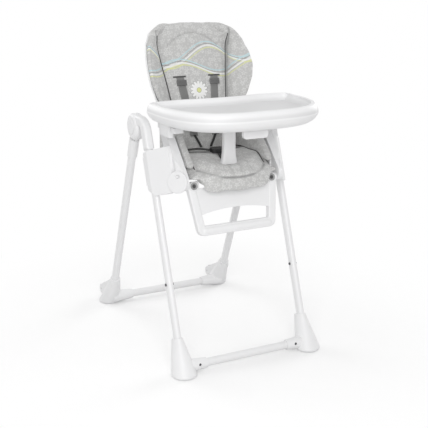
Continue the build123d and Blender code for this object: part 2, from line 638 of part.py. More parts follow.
def make_seat_pan():
    low = PAN_TOP - PAN_THICK
    outer = ARM_IN_X - SEAT_FIT
    pan = span(-outer, outer, PAN_TONGUE_FROM_Y, PAN_BACK_Y, low, PAN_TOP)
    pan += span(-PAN_TONGUE_X, PAN_TONGUE_X, PAN_FRONT_Y, PAN_TONGUE_FROM_Y, low, PAN_TOP)
    flange_mid = (PAN_TOP + FLANGE_TOP) / 2
    flange_run = (FLANGE_TOP - flange_mid) / SIDE_SLOPE
    profile = Polygon((PAN_TONGUE_FROM_Y, low), (PAN_TONGUE_FROM_Y, flange_mid),
                      (PAN_TONGUE_FROM_Y + flange_run, FLANGE_TOP), (SIDE_BACK_Y, FLANGE_TOP),
                      (PAN_BACK_Y, low), align=None)
    flange = side_plate(profile, outer - FLANGE_THICK, outer)
    ear_run = PAN_BACK_Y - SEAT_BACK_Y - 2 * SOFT_FIT
    ear_foot = Pos(PAN_BACK_Y - ear_run / 2, PAN_TOP - PAN_THICK / 2) * Rectangle(ear_run, PAN_THICK)
    ear_ring = Pos(BACK_PIVOT_Y, BACK_PIVOT_Z) * Circle(BACK_LUG_R + SHELL_THICK / 2)
    ear_profile = make_hull([*ear_foot.edges(), *ear_ring.edges()])
    ear = side_plate(ear_profile, EAR_X, EAR_X + EAR_THICK)
    ear -= rod_x(BACK_PIN_R + SEAT_FIT, EAR_X - EAR_THICK, EAR_X + 2 * EAR_THICK, BACK_PIVOT_Y, BACK_PIVOT_Z)
    for one in (flange, ear):
        pan += one + one.mirror(Plane.YZ)
    keep("seat_shell", pan)
    pin = rod_x(BACK_PIN_R, EAR_X - BACK_LUG_THICK, EAR_X + EAR_THICK, BACK_PIVOT_Y, BACK_PIVOT_Z)
    keep_both("backrest_pins", pin)


def seat_front_y(x):
    """Curved front edge of the seat cushion."""
    half = ARM_IN_X - SEAT_FIT - FLANGE_THICK - SOFT_FIT
    return SEAT_FRONT_Y + (SEAT_CORNER_Y - SEAT_FRONT_Y) * (x / half) ** 2


def cushion_outline(half, back_y, inset, z):
    """Plan of the seat cushion at one height: straight sides and a bowed front."""
    x = half - inset
    back = back_y - inset
    corner = (x, seat_front_y(half) + inset)
    far_corner = (-x, seat_front_y(half) + inset)
    front = ThreePointArc(corner, (0, SEAT_FRONT_Y + inset), far_corner)
    sides = Polyline(far_corner, (-x, back), (x, back), corner)
    face = make_face([*front.edges(), *sides.edges()])
    return Pos(0, 0, z) * fillet(face.vertices(), SEAT_ROUND)


def make_seat_cushion():
    half = ARM_IN_X - SEAT_FIT - FLANGE_THICK - SOFT_FIT
    low = PAN_TOP + SOFT_FIT
    soft = SEAT_ROUND
    levels = [(low, soft), (low + soft / 2, soft / 4)]
    for turn in (0, 20, 40, 60, 75, 90):
        rise = (SEAT_TOP - low - soft) * sin(radians(turn))
        levels.append((low + soft + rise, SEAT_CROWN * (1 - cos(radians(turn)))))
    slab = loft([cushion_outline(half, SEAT_BACK_Y, inset, z) for z, inset in levels], ruled=True)
    apron_back = PAN_FRONT_Y - SOFT_FIT
    apron_front = SEAT_FRONT_Y + soft / 3
    apron_top = low + 1.5 * soft
    end_x = half * sqrt((apron_back - apron_front) / (SEAT_CORNER_Y - SEAT_FRONT_Y))
    bow = ThreePointArc((-end_x, apron_back), (0, apron_front), (end_x, apron_back))
    chord = Line((end_x, apron_back), (-end_x, apron_back))
    apron = plan_plate(make_face([*bow.edges(), *chord.edges()]), SEAT_APRON_Z, apron_top)
    hem_x = SEAT_HEM_HALF
    hem = ThreePointArc((-hem_x, low), (0, SEAT_APRON_Z), (hem_x, low))
    above = Polyline((hem_x, low), (hem_x, SEAT_TOP), (-hem_x, SEAT_TOP), (-hem_x, low))
    apron &= front_plate(make_face([*hem.edges(), *above.edges()]), SEAT_FRONT_Y, apron_back)
    keep("seat_cushion", slab + apron)


def make_side_cushions():
    outer = ARM_IN_X - SEAT_FIT - FLANGE_THICK - SOFT_FIT
    soft = SEAT_ROUND
    sections = []
    for x, inset in ((outer, soft / 2), (outer - soft, 0.0), (outer - 2 * soft, 0.0),
                     (outer - SIDE_THICK, 1.5 * soft)):
        low = SIDE_LOW + inset
        top = SIDE_TOP - inset
        run = (SIDE_TOP - SIDE_LOW) / SIDE_SLOPE
        profile = Polygon((SIDE_FRONT_Y + 2 * inset, low), (SIDE_FRONT_Y + run + inset, top),
                          (SIDE_BACK_Y - inset, top), (SIDE_BACK_Y - inset, low), align=None)
        sections.append(Plane.YZ.offset(x) * fillet(profile.vertices(), SEAT_ROUND))
    keep_pair("side_cushion", loft(sections))


def crease_at(v):
    """Fold of the wing from the middle, at one height up the back."""
    share = max(0.0, v - BACK_CREASE_FROM) / (BACK_SECTIONS[-1][0] - BACK_CREASE_FROM)
    return BACK_CREASE_LOW + (BACK_CREASE_TOP - BACK_CREASE_LOW) * share


def wing_points(v, half, reach, fill):
    """Right-hand points of one level of the back cushion: creases and wing tip."""
    back = BACK_THICK - BACK_FRONT
    front = back - BACK_THICK * fill
    wing = WING_THICK * fill
    crease_x = min(crease_at(v), half - WING_THICK)
    tip_front = (half - wing / 3, front - reach)
    tip_out = (half, front - reach + wing / 2)
    tip_back = (half - wing / 6, front - reach + wing)
    crease = (crease_x, front)
    back_crease = (crease_x + WING_THICK / 3, back)
    return crease, tip_front, tip_out, tip_back, back_crease


def flip(point):
    return (-point[0], point[1])


def cushion_level(v, half, reach, fill):
    """Closed outline of the back cushion at one height up the back."""
    crease, tip_front, tip_out, tip_back, back_crease = wing_points(v, half, reach, fill)
    run = hypot(tip_front[0] - crease[0], tip_front[1] - crease[1])
    crown = BACK_CROWN * fill
    puff = crown / run
    belly = ((crease[0] + tip_front[0]) / 2 + (tip_front[1] - crease[1]) * puff,
             (crease[1] + tip_front[1]) / 2 - (tip_front[0] - crease[0]) * puff)
    edges = [ThreePointArc(flip(crease), (0, crease[1] - crown), crease),
             ThreePointArc(crease, belly, tip_front),
             ThreePointArc(tip_front, tip_out, tip_back),
             Line(tip_back, back_crease),
             Line(back_crease, flip(back_crease)),
             Line(flip(back_crease), flip(tip_back)),
             ThreePointArc(flip(tip_back), flip(tip_out), flip(tip_front)),
             ThreePointArc(flip(tip_front), flip(belly), flip(crease))]
    return Pos(0, 0, v) * make_face(edges)


def shell_level(v, half, reach, fill):
    """Closed outline of the back shell at one height, just behind the cushion."""
    _, _, _, tip_back, corner = wing_points(v, half, reach, fill)
    run = hypot(tip_back[0] - corner[0], tip_back[1] - corner[1])
    along = ((tip_back[0] - corner[0]) / run, (tip_back[1] - corner[1]) / run)
    turn = tan(atan2(-along[1], along[0]) / 2)
    points = []
    for gap in (SHELL_GAP, SHELL_GAP + SHELL_THICK):
        bend = (corner[0] + gap * turn, corner[1] + gap)
        end = (corner[0] + along[0] * (run - SHELL_EDGE) - along[1] * gap,
               corner[1] + along[1] * (run - SHELL_EDGE) + along[0] * gap)
        points.append([flip(end), flip(bend), bend, end])
    inner, outer = points
    return Pos(0, 0, v) * Polygon(*inner, *reversed(outer), align=None)


def make_backrest():
    keep("back_cushion", BACK.location * loft([cushion_level(*level) for level in BACK_SECTIONS], ruled=True))
    shell = loft([shell_level(*level) for level in BACK_SECTIONS[:-1]], ruled=True)
    inner = BACK_THICK - BACK_FRONT + SHELL_GAP
    outer = inner + SHELL_THICK
    lug_profile = tangent_bar(0, 0, BACK_LUG_R, (inner + outer) / 2, 3 * BACK_LUG_R, SHELL_THICK / 2)
    lug_out = EAR_X - SLIDE_FIT
    lug = side_plate(lug_profile, lug_out - BACK_LUG_THICK, lug_out)
    lug -= rod_x(BACK_PIN_R + RUN_FIT, 0, EAR_X)
    shell += lug + lug.mirror(Plane.YZ)
    handle = span(-HANDLE_HALF, HANDLE_HALF, inner, outer + HANDLE_DEPTH, HANDLE_LOW, HANDLE_HIGH)
    handle = fillet(handle.edges().filter_by(Axis.Z).group_by(Axis.Y)[-1], SHELL_THICK)
    stem_front = outer + STEM_DEPTH / 2
    stem_back = stem_front + STEM_DEPTH
    stem_top = HANDLE_LOW + STEM_REACH
    pocket_top = stem_top + GRIP_TRAVEL + SLIDE_FIT
    handle -= span(-STEM_HALF - SLIDE_FIT, STEM_HALF + SLIDE_FIT, stem_front - SLIDE_FIT,
                   stem_back + SLIDE_FIT, HANDLE_LOW - STEM_REACH, pocket_top)
    keep("backrest_shell", BACK.location * (shell + handle))
    grip_top = HANDLE_LOW - GRIP_TRAVEL - SLIDE_FIT
    grip_front = outer + SLIDE_FIT
    grip = span(-GRIP_HALF, GRIP_HALF, grip_front, grip_front + GRIP_DEPTH, grip_top - GRIP_HEIGHT, grip_top)
    grip = fillet(grip.edges().filter_by(Axis.X), GRIP_DEPTH / 4)
    grip += span(-STEM_HALF, STEM_HALF, stem_front, stem_back, grip_top - GRIP_HEIGHT / 2, stem_top)
    keep("recline_lever", BACK.location * grip)


def make_harness():
    half = STRAP_WIDTH / 2
    crown = BACK_CROWN * (1 - ((STRAP_LOW_X - half) / crease_at(STRAP_LOW_V)) ** 2)
    back_face = -BACK_FRONT - crown - 2 * SEAT_FIT
    profile = Polygon((STRAP_TOP_X - half, STRAP_TOP_V), (STRAP_TOP_X + half, STRAP_TOP_V),
                      (STRAP_LOW_X + half, STRAP_LOW_V), (STRAP_LOW_X - half, STRAP_LOW_V), align=None)
    strap = front_plate(profile, back_face - STRAP_THICK, back_face)
    keep_both("shoulder_straps", BACK.location * strap)
    share = (ADJUSTER_V - STRAP_LOW_V) / (STRAP_TOP_V - STRAP_LOW_V)
    middle = STRAP_LOW_X + (STRAP_TOP_X - STRAP_LOW_X) * share
    adjuster_back = back_face - STRAP_THICK - SEAT_FIT
    adjuster = span(middle - ADJUSTER_WIDTH / 2, middle + ADJUSTER_WIDTH / 2, adjuster_back - ADJUSTER_THICK,
                    adjuster_back, ADJUSTER_V - ADJUSTER_HEIGHT / 2, ADJUSTER_V + ADJUSTER_HEIGHT / 2)
    adjuster = fillet(adjuster.edges().group_by(Axis.Y)[0], ADJUSTER_THICK / 3)
    keep_both("strap_adjusters", BACK.location * adjuster)
    low = SEAT_TOP + SOFT_FIT
    buckle = span(-BUCKLE_WIDTH / 2, BUCKLE_WIDTH / 2, BUCKLE_Y - BUCKLE_DEPTH / 2,
                  BUCKLE_Y + BUCKLE_DEPTH / 2, low, low + BUCKLE_THICK)
    buckle = fillet(buckle.edges().filter_by(Axis.Z), BUCKLE_DEPTH / 4)
    buckle = fillet(buckle.edges().group_by(Axis.Z)[-1], BUCKLE_THICK / 4)
    keep("harness_buckle", buckle)
    strap_low = low + (BUCKLE_THICK - STRAP_THICK) / 2
    lap_in = BUCKLE_WIDTH / 2 + SEAT_FIT
    lap = Polygon((lap_in, BUCKLE_Y - half), (LAP_END_X, LAP_END_Y - half), (LAP_END_X, LAP_END_Y + half),
                  (lap_in, BUCKLE_Y + half), align=None)
    lap = plan_plate(lap, strap_low, strap_low + STRAP_THICK)
    crotch_back = BUCKLE_Y - BUCKLE_DEPTH / 2 - SEAT_FIT
    crotch = span(-half, half, crotch_back - STRAP_WIDTH, crotch_back, strap_low, strap_low + STRAP_THICK)
    keep("lap_straps", lap, lap.mirror(Plane.YZ), crotch)


def make_footrest():
    half_top = BOSS_OUT
    bar_mid = REST_BAR_R - REST_LOW
    narrow = (half_top - REST_HALF_LOW) / REST_LOW

    def half_at(z):
        return half_top + narrow * z

    def trapezoid(top, low, inset):
        return Polygon((half_at(top) - inset, top), (half_at(low) - inset, low), (inset - half_at(low), low),
                       (inset - half_at(top), top), align=None)

    outline = trapezoid(0, -REST_LOW, 0)
    outline = fillet(outline.vertices().group_by(Axis.Y)[0], REST_CORNER)
    window = trapezoid(REST_BOSS_R, bar_mid + REST_BAR_R, REST_LIMB)
    frame = front_plate(outline - window, -REST_THICK / 2, REST_THICK / 2)
    frame = fillet(frame.faces().sort_by(Axis.Y)[0].edges(), REST_ROUND)
    frame = fillet(frame.faces().sort_by(Axis.Y)[-1].edges(), REST_ROUND)
    bar_half = REST_HALF_LOW - REST_CORNER
    frame += rod_x(REST_BAR_R, -bar_half, bar_half, 0, bar_mid)
    for one in (-1, 1):
        frame += Pos(one * bar_half, 0, bar_mid) * Sphere(REST_BAR_R)
    edge = half_at(-REST_ARCH_END) - REST_LIMB / 2
    top_edge = half_at(-REST_PANEL_TOP) - REST_LIMB / 2
    arch = ThreePointArc((-edge, -REST_ARCH_END), (0, -REST_ARCH_MID), (edge, -REST_ARCH_END))
    rest = Polyline((edge, -REST_ARCH_END), (top_edge, -REST_PANEL_TOP), (-top_edge, -REST_PANEL_TOP),
                    (-edge, -REST_ARCH_END))
    panel_front = REST_PANEL_SUNK - REST_THICK / 2
    frame += front_plate(make_face([*arch.edges(), *rest.edges()]), panel_front, panel_front + REST_PANEL)
    cup_front = -REST_BOSS_R - REST_BUTTON_PROUD
    cup_room = REST_BUTTON_DEPTH - REST_BUTTON_PROUD + REST_BUTTON_TRAVEL + SLIDE_FIT
    boss = rod_x(REST_BOSS_R, REST_BOSS_IN, BOSS_OUT)
    boss += rod_y(REST_BUTTON_R + REST_BUTTON_WALL, cup_front, 0, REST_BUTTON_X)
    hole = rod_x(REST_PIN_R + RUN_FIT, REST_BOSS_IN + REST_BOSS_R - SLIDE_FIT, 2 * BOSS_OUT)
    hole += rod_y(REST_BUTTON_R + SLIDE_FIT, 2 * cup_front, cup_front + cup_room, REST_BUTTON_X)
    frame += boss + boss.mirror(Plane.YZ)
    frame -= hole
    frame -= hole.mirror(Plane.YZ)
    keep("footrest", REST.location * frame)
    face = cup_front - REST_BUTTON_PROUD
    button = rod_y(REST_BUTTON_R, face, face + REST_BUTTON_DEPTH, REST_BUTTON_X)
    dish_r = (REST_BUTTON_R ** 2 + REST_BUTTON_DISH ** 2) / (2 * REST_BUTTON_DISH)
    button -= Pos(REST_BUTTON_X, face + REST_BUTTON_DISH - dish_r, 0) * Sphere(dish_r)
    keep_pair("footrest_button", REST.location * button)


def tray_level(z, inset):
    """Rounded plan of the tray at one height, with a shallow hollow at the back."""
    points = []
    for step in range(TRAY_STEPS):
        turn = 2 * pi * step / TRAY_STEPS
        back = sin(turn) > 0
        power = 2 / (TRAY_BACK_POWER if back else TRAY_FRONT_POWER)
        reach = TRAY_BACK_Y - TRAY_WIDEST_Y if back else TRAY_WIDEST_Y - TRAY_FRONT_Y
        x = (TRAY_HALF - inset) * copysign(abs(cos(turn)) ** power, cos(turn))
        y = TRAY_WIDEST_Y + (reach - inset) * copysign(abs(sin(turn)) ** power, sin(turn))
        if back:
            y -= TRAY_NOTCH * max(0.0, 1 - (x / TRAY_NOTCH_HALF) ** 2)
        points.append((x, y))
    return Pos(0, 0, z) * make_face(Spline(*points, periodic=True))


def make_tray():
    mid = (TRAY_LOW + TRAY_SEAM) / 2
    base = loft([tray_level(TRAY_LOW, TRAY_TUCK), tray_level(mid, TRAY_TUCK / 4), tray_level(TRAY_SEAM, 0)])
    base -= loft([tray_level(TRAY_LOW + TRAY_WALL, TRAY_TUCK + TRAY_WALL),
                  tray_level(mid, TRAY_TUCK / 4 + 2 * TRAY_WALL),
                  tray_level(TRAY_SEAM, TRAY_WALL)])
    rail_out = RAIL_X + RAIL_WIDTH / 2
    clip_in = rail_out + SLIDE_FIT
    clip_out = clip_in + CLIP_WALL
    clip_y = CLIP_FRONT_Y, CLIP_FRONT_Y + CLIP_LENGTH
    clip = span(rail_out - RAIL_WIDTH, clip_out, *clip_y, RAIL_TOP + SLIDE_FIT, TRAY_LOW + TRAY_WALL)
    clip += span(clip_in, clip_out, *clip_y, CLIP_LOW, TRAY_LOW)
    clip += span(rail_out - CLIP_HOOK, clip_out, *clip_y, CLIP_LOW, RAIL_TOP - RAIL_THICK - SLIDE_FIT)
    base += clip + clip.mirror(Plane.YZ)
    stem_half = PULL_HALF - PULL_STEM
    slot_front = PULL_Y - PULL_THICK / 2 - PULL_TRAVEL - SLIDE_FIT
    slot_back = PULL_Y + PULL_THICK / 2 + SLIDE_FIT
    base -= span(-stem_half - SLIDE_FIT, stem_half + SLIDE_FIT, slot_front, slot_back,
                 TRAY_LOW - TRAY_WALL, TRAY_LOW + 2 * TRAY_WALL)
    keep("tray_base", base)
    rim = TRAY_TOP - TRAY_SEAM
    top = loft([tray_level(TRAY_SEAM, 0), tray_level(TRAY_SEAM + rim / 2, TRAY_RIM / 10),
                tray_level(TRAY_TOP - rim / 8, TRAY_RIM / 3), tray_level(TRAY_TOP, TRAY_LIP)])
    top -= loft([tray_level(TRAY_FLOOR, TRAY_FLOOR_IN), tray_level(TRAY_FLOOR + rim / 5, TRAY_COVE),
                 tray_level(TRAY_TOP, TRAY_RIM)])
    keep("tray_top", top)
    flare = (TRAY_LOW - POST_LOW) / 8
    post = []
    for z, width in ((POST_LOW, POST_LOW_WIDTH), (POST_LOW + flare, POST_FLARE_WIDTH),
                     (POST_LOW + 3 * flare, POST_NECK_WIDTH), (TRAY_LOW, POST_TOP_WIDTH)):
        post.append(Pos(0, POST_Y, z) * RectangleRounded(width, POST_DEPTH, POST_DEPTH / 3))
    keep("crotch_post", loft(post))
    pull_top = TRAY_LOW - SLIDE_FIT
    profile = Pos(0, (PULL_LOW + pull_top) / 2) * Rectangle(2 * PULL_HALF, pull_top - PULL_LOW)
    profile = fillet(profile.vertices().group_by(Axis.Y)[0], PULL_STEM)
    pull = front_plate(profile, PULL_Y - PULL_THICK / 2, PULL_Y + PULL_THICK / 2)
    pull += span(-stem_half, stem_half, PULL_Y - PULL_THICK / 2, PULL_Y + PULL_THICK / 2,
                 pull_top - PULL_STEM, TRAY_LOW + PULL_STEM)
    keep("tray_lever", pull)


make_front_legs()
make_knuckles()
make_rear_legs()
make_front_feet()
make_rear_feet()
make_housings()
make_arms()
make_seat_pan()
make_seat_cushion()
make_side_cushions()
make_backrest()
make_harness()
make_footrest()
make_tray()

os.makedirs("parts", exist_ok=True)
for node, pieces in parts.items():
    solids = [solid for piece in pieces for solid in piece.solids()]
    export_step(solids[0] if len(solids) == 1 else Compound(solids), f"parts/{node}.step")
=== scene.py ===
# %% [markdown]
# # A folding baby high chair
# The chair's frame comes in as finished CAD solids. This lesson dresses it: a camera and light like a
# catalogue picture's, procedural finishes for every moulded and painted piece, and real padding, webbing
# and stitching in place of the plain blocks that stand for the soft parts.

import json
from math import cos, pi, radians, sin

import bpy
import numpy as np
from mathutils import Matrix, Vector, noise
from mathutils.bvhtree import BVHTree


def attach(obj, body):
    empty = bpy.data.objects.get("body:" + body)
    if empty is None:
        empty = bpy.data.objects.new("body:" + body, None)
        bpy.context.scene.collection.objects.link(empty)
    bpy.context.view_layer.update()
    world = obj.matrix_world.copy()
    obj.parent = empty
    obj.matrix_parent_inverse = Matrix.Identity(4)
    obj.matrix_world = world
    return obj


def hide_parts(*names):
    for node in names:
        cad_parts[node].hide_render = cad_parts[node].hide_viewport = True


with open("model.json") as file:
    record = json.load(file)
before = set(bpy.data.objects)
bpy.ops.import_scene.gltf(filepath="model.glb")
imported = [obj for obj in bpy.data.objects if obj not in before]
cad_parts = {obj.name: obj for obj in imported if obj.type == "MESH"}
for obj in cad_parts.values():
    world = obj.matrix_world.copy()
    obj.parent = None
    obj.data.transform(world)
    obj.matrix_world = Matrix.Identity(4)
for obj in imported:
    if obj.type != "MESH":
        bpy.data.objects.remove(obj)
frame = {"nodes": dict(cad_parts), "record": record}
nodes = frame["nodes"]
scene = bpy.context.scene
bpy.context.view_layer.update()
print("CAD nodes:", len(nodes))

# %% [markdown]
# ## Camera
# The picture was taken from the chair's front left, a little above the tray, with a long lens. A camera
# is placed at that spot and turned to the middle of the chair. Its place and angle come from a fit of the
# feet, the legs, the tray and the seat, which is closer than setting them by eye.

# %% Camera
CAMERA_PLACE = Vector((-1.2460, -2.6136, 1.2703))
CAMERA_AIM = Vector((0.0, -0.0800, 0.4446))
FIELD_OF_VIEW = radians(28.2)

camera_data = bpy.data.cameras.new("camera")
camera_data.sensor_fit = "HORIZONTAL"
camera_data.angle = FIELD_OF_VIEW
camera = bpy.data.objects.new("camera", camera_data)
camera.location = CAMERA_PLACE
camera.rotation_euler = (CAMERA_AIM - CAMERA_PLACE).to_track_quat("-Z", "Y").to_euler()
scene.collection.objects.link(camera)
scene.camera = camera
print("camera lens:", round(camera_data.lens, 1))

# %% [markdown]
# ## Shader maths as Python
# Node trees are easier to read as expressions. One small class wraps an output socket: arithmetic on it
# adds Math nodes, and one method adds any other node. Linking each node by hand would give the same trees
# in many more lines.


# %% Wire
class Wire:
    """An output socket. Sums and products of wires become Math nodes in their tree."""

    def __init__(self, tree, socket=None):
        self.tree = tree
        self.socket = socket

    def add(self, kind, inputs=None, settings=None, output=0):
        """Add a node: its settings first, then values or wires for its input sockets."""
        node = self.tree.nodes.new(kind)
        for key, value in (settings or {}).items():
            setattr(node, key, value)
        for key, value in (inputs or {}).items():
            if isinstance(value, Wire):
                self.tree.links.new(value.socket, node.inputs[key])
            else:
                node.inputs[key].default_value = value
        return Wire(self.tree, node.outputs[output])

    def maths(self, operation, *values):
        return self.add("ShaderNodeMath", dict(enumerate(values)), {"operation": operation})

    def __add__(self, other):
        return self.maths("ADD", self, other)

    def __sub__(self, other):
        return self.maths("SUBTRACT", self, other)

    def __mul__(self, other):
        return self.maths("MULTIPLY", self, other)

    def __truediv__(self, other):
        return self.maths("DIVIDE", self, other)

    def size(self):
        return self.maths("ABSOLUTE", self)

    def sine(self):
        return self.maths("SINE", self)

    def at_most(self, other):
        return self.maths("MINIMUM", self, other)

    def at_least(self, other):
        return self.maths("MAXIMUM", self, other)

    def fade(self, full, none):
        """1 where the value is at full, 0 where it is at none, smooth between."""
        return self.add("ShaderNodeMapRange",
                        {"Value": self, "From Min": none, "From Max": full},
                        {"interpolation_type": "SMOOTHSTEP"})

    def mix(self, low, high):
        """Colour between low and high by this value."""
        return self.add("ShaderNodeMix", {0: self, 6: low, 7: high}, {"data_type": "RGBA"}, 2)

    def split(self):
        """The x, y and z of a vector."""
        node = self.add("ShaderNodeSeparateXYZ", {0: self}).socket.node
        return [Wire(self.tree, one) for one in node.outputs]

    def noise(self, scale, detail=2.0):
        return self.add("ShaderNodeTexNoise", {"Vector": self, "Scale": scale, "Detail": detail})


def start_finish(name):
    """A new material: its tree as a wire, its shader node, and Object coordinates."""
    material = bpy.data.materials.new(name)
    material.use_nodes = True
    tree = material.node_tree
    shader = tree.nodes["Principled BSDF"]
    pen = Wire(tree)
    place = pen.add("ShaderNodeTexCoord", output=3)
    return material, pen, shader, place


def feed(shader, **inputs):
    """Set or link the shader's sockets, named with _ for a space."""
    for key, value in inputs.items():
        socket = shader.inputs[key.replace("_", " ")]
        if isinstance(value, Wire):
            value.tree.links.new(value.socket, socket)
        else:
            socket.default_value = value


def bump(pen, height, strength, distance):
    return pen.add("ShaderNodeBump", {"Height": height, "Strength": strength, "Distance": distance})


def colour(red, green, blue):
    return (red, green, blue, 1.0)


def shaded(tint, share):
    """A share of a tint, as a colour."""
    return colour(*(share * value for value in tint))


# %% [markdown]
# ## Hard finishes
# The frame is powder-coated tube, the housings and tray are injection-moulded plastic. All are white, but
# they are not the same: the coat has a faint orange peel, the mouldings a fine spark texture, and the
# tray is smoother so that it wipes clean. Each finish varies a little in colour and gloss over the piece.
# Noise on Object coordinates does this without any picture file.


# %% Moulded and painted finishes
DRIFT_SCALE = 9.0
GRAIN_SCALE = 1400.0
GRAIN_HEIGHT = 0.0004
COAT_ROUGH = 0.25
PEEL_SCALE = 420.0
PEEL_DRIFT = 5.0
PEEL_HEIGHT = 0.0006
PEEL_COAT_ROUGH = 0.18
TURNING_SCALE = 900.0
RUBBER_SCALE = 700.0
RUBBER_HEIGHT = 0.0006
TRAY_FLOOR_Z = 0.832
TRAY_COVE = (0.002, 0.014)
TRAY_UNDER = (-0.001, -0.003)
TRAY_WHITE = (0.84, 0.84, 0.845)
# Grey painted on the floor of the tray's recess as shade.
TRAY_RECESS_SHADE = (0.72, 0.72, 0.725)
BUTTON_X = 0.142
BUTTON_Z = 0.593
BUTTON_DISH = (0.0045, 0.0085)
BUTTON_GREY = (0.33, 0.33, 0.33)
# Near-black painted at the bottom of the button's dish as shade.
BUTTON_DISH_SHADE = (0.05, 0.05, 0.05)
DIMPLE_Y = -0.2075
DIMPLE_Z = 0.6253
DIMPLE_R = (0.0035, 0.0065)
DIMPLE_DEPTH = 0.003
CAP_WHITE = (0.83, 0.83, 0.835)
CAP_SHADE = (0.79, 0.79, 0.795)


def moulded(name, tint, rough, grain):
    """Injection-moulded plastic with a fine texture of the given depth."""
    material, pen, shader, place = start_finish(name)
    drift = place.noise(DRIFT_SCALE)
    fine = place.noise(GRAIN_SCALE, 1.0)
    feed(shader, Base_Color=drift.mix(shaded(tint, 0.955), colour(*tint)),
         Roughness=drift * 0.10 + fine * 0.06 + (rough - 0.08),
         Normal=bump(pen, fine, grain, GRAIN_HEIGHT))
    return material


def powder_coat(name, tint):
    """Baked paint on steel tube: a soft orange peel under a thin gloss."""
    material, pen, shader, place = start_finish(name)
    peel = place.noise(PEEL_SCALE, 1.0)
    drift = place.noise(PEEL_DRIFT)
    feed(shader, Base_Color=drift.mix(shaded(tint, 0.96), colour(*tint)), Roughness=drift * 0.08 + 0.30,
         Coat_Weight=0.25, Coat_Roughness=PEEL_COAT_ROUGH, Normal=bump(pen, peel, 0.06, PEEL_HEIGHT))
    return material


def turned_steel(name, tint, rough):
    """Bare metal with fine turning marks."""
    material, _, shader, place = start_finish(name)
    marks = place.noise(TURNING_SCALE, 3.0)
    feed(shader, Base_Color=marks.mix(shaded(tint, 0.8), colour(*tint)),
         Metallic=1.0, Roughness=marks * 0.18 + rough)
    return material


def rubber(name, tint):
    """Dull rubber of the pads under the feet."""
    material, pen, shader, place = start_finish(name)
    grain = place.noise(RUBBER_SCALE, 3.0)
    feed(shader, Base_Color=grain.mix(shaded(tint, 0.75), colour(*tint)),
         Roughness=grain * 0.15 + 0.72, Normal=bump(pen, grain, 0.25, RUBBER_HEIGHT))
    return material


def tray_finish(name):
    """Tray plastic, with a greyer colour painted on the floor of the recess as shade, and a little rougher
    there.
    """
    material, pen, shader, place = start_finish(name)
    height = place.split()[2]
    recess_shade_and_matte = height.fade(*(TRAY_FLOOR_Z + step for step in TRAY_COVE))
    recess_shade_and_matte = recess_shade_and_matte * height.fade(*(TRAY_FLOOR_Z + step for step in TRAY_UNDER))
    fine = place.noise(GRAIN_SCALE, 1.0)
    drift = place.noise(DRIFT_SCALE)
    feed(shader, Base_Color=recess_shade_and_matte.mix(colour(*TRAY_WHITE), colour(*TRAY_RECESS_SHADE)),
         Roughness=drift * 0.08 + fine * 0.05 + recess_shade_and_matte * 0.06 + 0.36, Coat_Weight=0.05,
         Coat_Roughness=COAT_ROUGH, Normal=bump(pen, fine, 0.06, GRAIN_HEIGHT))
    return material


def dished_button(name):
    """Grey push button, with near-black painted at the bottom of its dish as shade."""
    material, pen, shader, place = start_finish(name)
    across, _, height = place.split()
    aside = across.size() - BUTTON_X
    rise = height - BUTTON_Z
    reach = pen.maths("SQRT", aside * aside + rise * rise)
    fine = place.noise(GRAIN_SCALE, 1.0)
    dish_shade = reach.fade(*BUTTON_DISH)
    feed(shader, Base_Color=dish_shade.mix(colour(*BUTTON_GREY), colour(*BUTTON_DISH_SHADE)),
         Roughness=fine * 0.1 + 0.4, Normal=bump(pen, fine, 0.1, GRAIN_HEIGHT))
    return material


def dimpled_cap(name):
    """White plastic of the arm discs, with one small finger dimple in each."""
    material, pen, shader, place = start_finish(name)
    _, deep, height = place.split()
    along = deep - DIMPLE_Y
    rise = height - DIMPLE_Z
    reach = pen.maths("SQRT", along * along + rise * rise)
    raised = reach.fade(DIMPLE_R[1], DIMPLE_R[0])
    drift = place.noise(DRIFT_SCALE)
    feed(shader, Base_Color=drift.mix(colour(*CAP_SHADE), colour(*CAP_WHITE)),
         Roughness=drift * 0.1 + 0.36, Normal=bump(pen, raised, 1.0, DIMPLE_DEPTH))
    return material


white_moulding = moulded("white_moulding", (0.83, 0.83, 0.835), 0.42, 0.10)
tray_moulding = tray_finish("tray_moulding")
white_tube = powder_coat("white_tube", (0.82, 0.82, 0.825))
grey_button = dished_button("grey_button")
cap_moulding = dimpled_cap("cap_moulding")
wheel_moulding = moulded("wheel_moulding", (0.50, 0.50, 0.50), 0.50, 0.12)
black_moulding = moulded("black_moulding", (0.018, 0.018, 0.019), 0.38, 0.15)
slider_moulding = moulded("slider_moulding", (0.14, 0.14, 0.14), 0.46, 0.12)
inner_moulding = moulded("inner_moulding", (0.42, 0.42, 0.42), 0.5, 0.1)
pin_steel = turned_steel("pin_steel", (0.62, 0.62, 0.64), 0.28)
screw_steel = turned_steel("screw_steel", (0.16, 0.16, 0.17), 0.35)
pad_rubber = rubber("pad_rubber", (0.10, 0.10, 0.10))
print("hard finishes:", len(bpy.data.materials))

# %% [markdown]
# ## Dress the CAD nodes
# Every rigid node gets the finish of the real piece. The record's material slots already say which is
# which, so a table from slot to finish does it in one loop. A few small pieces share the slot of the grey
# buttons but are white on this chair, so they are named.

# %% Finishes on the CAD nodes
FINISH_OF_SLOT = {
    "white_plastic": white_moulding,
    "tray_plastic": tray_moulding,
    "white_steel": white_tube,
    "steel": pin_steel,
    "dark_screw": screw_steel,
    "inner_plastic": inner_moulding,
    "rubber_pad": pad_rubber,
    "wheel_plastic": wheel_moulding,
    "grey_button": grey_button,
    "dark_plastic": black_moulding,
}
WHITE_NODES = ("fold_button_left", "fold_button_right", "height_lever_left", "height_lever_right",
               "tray_lever")
slot_of_node = {one["node"]: one["material_slot"] for one in frame["record"]["subparts"]}


def wear(piece, material):
    piece.data.materials.clear()
    piece.data.materials.append(material)


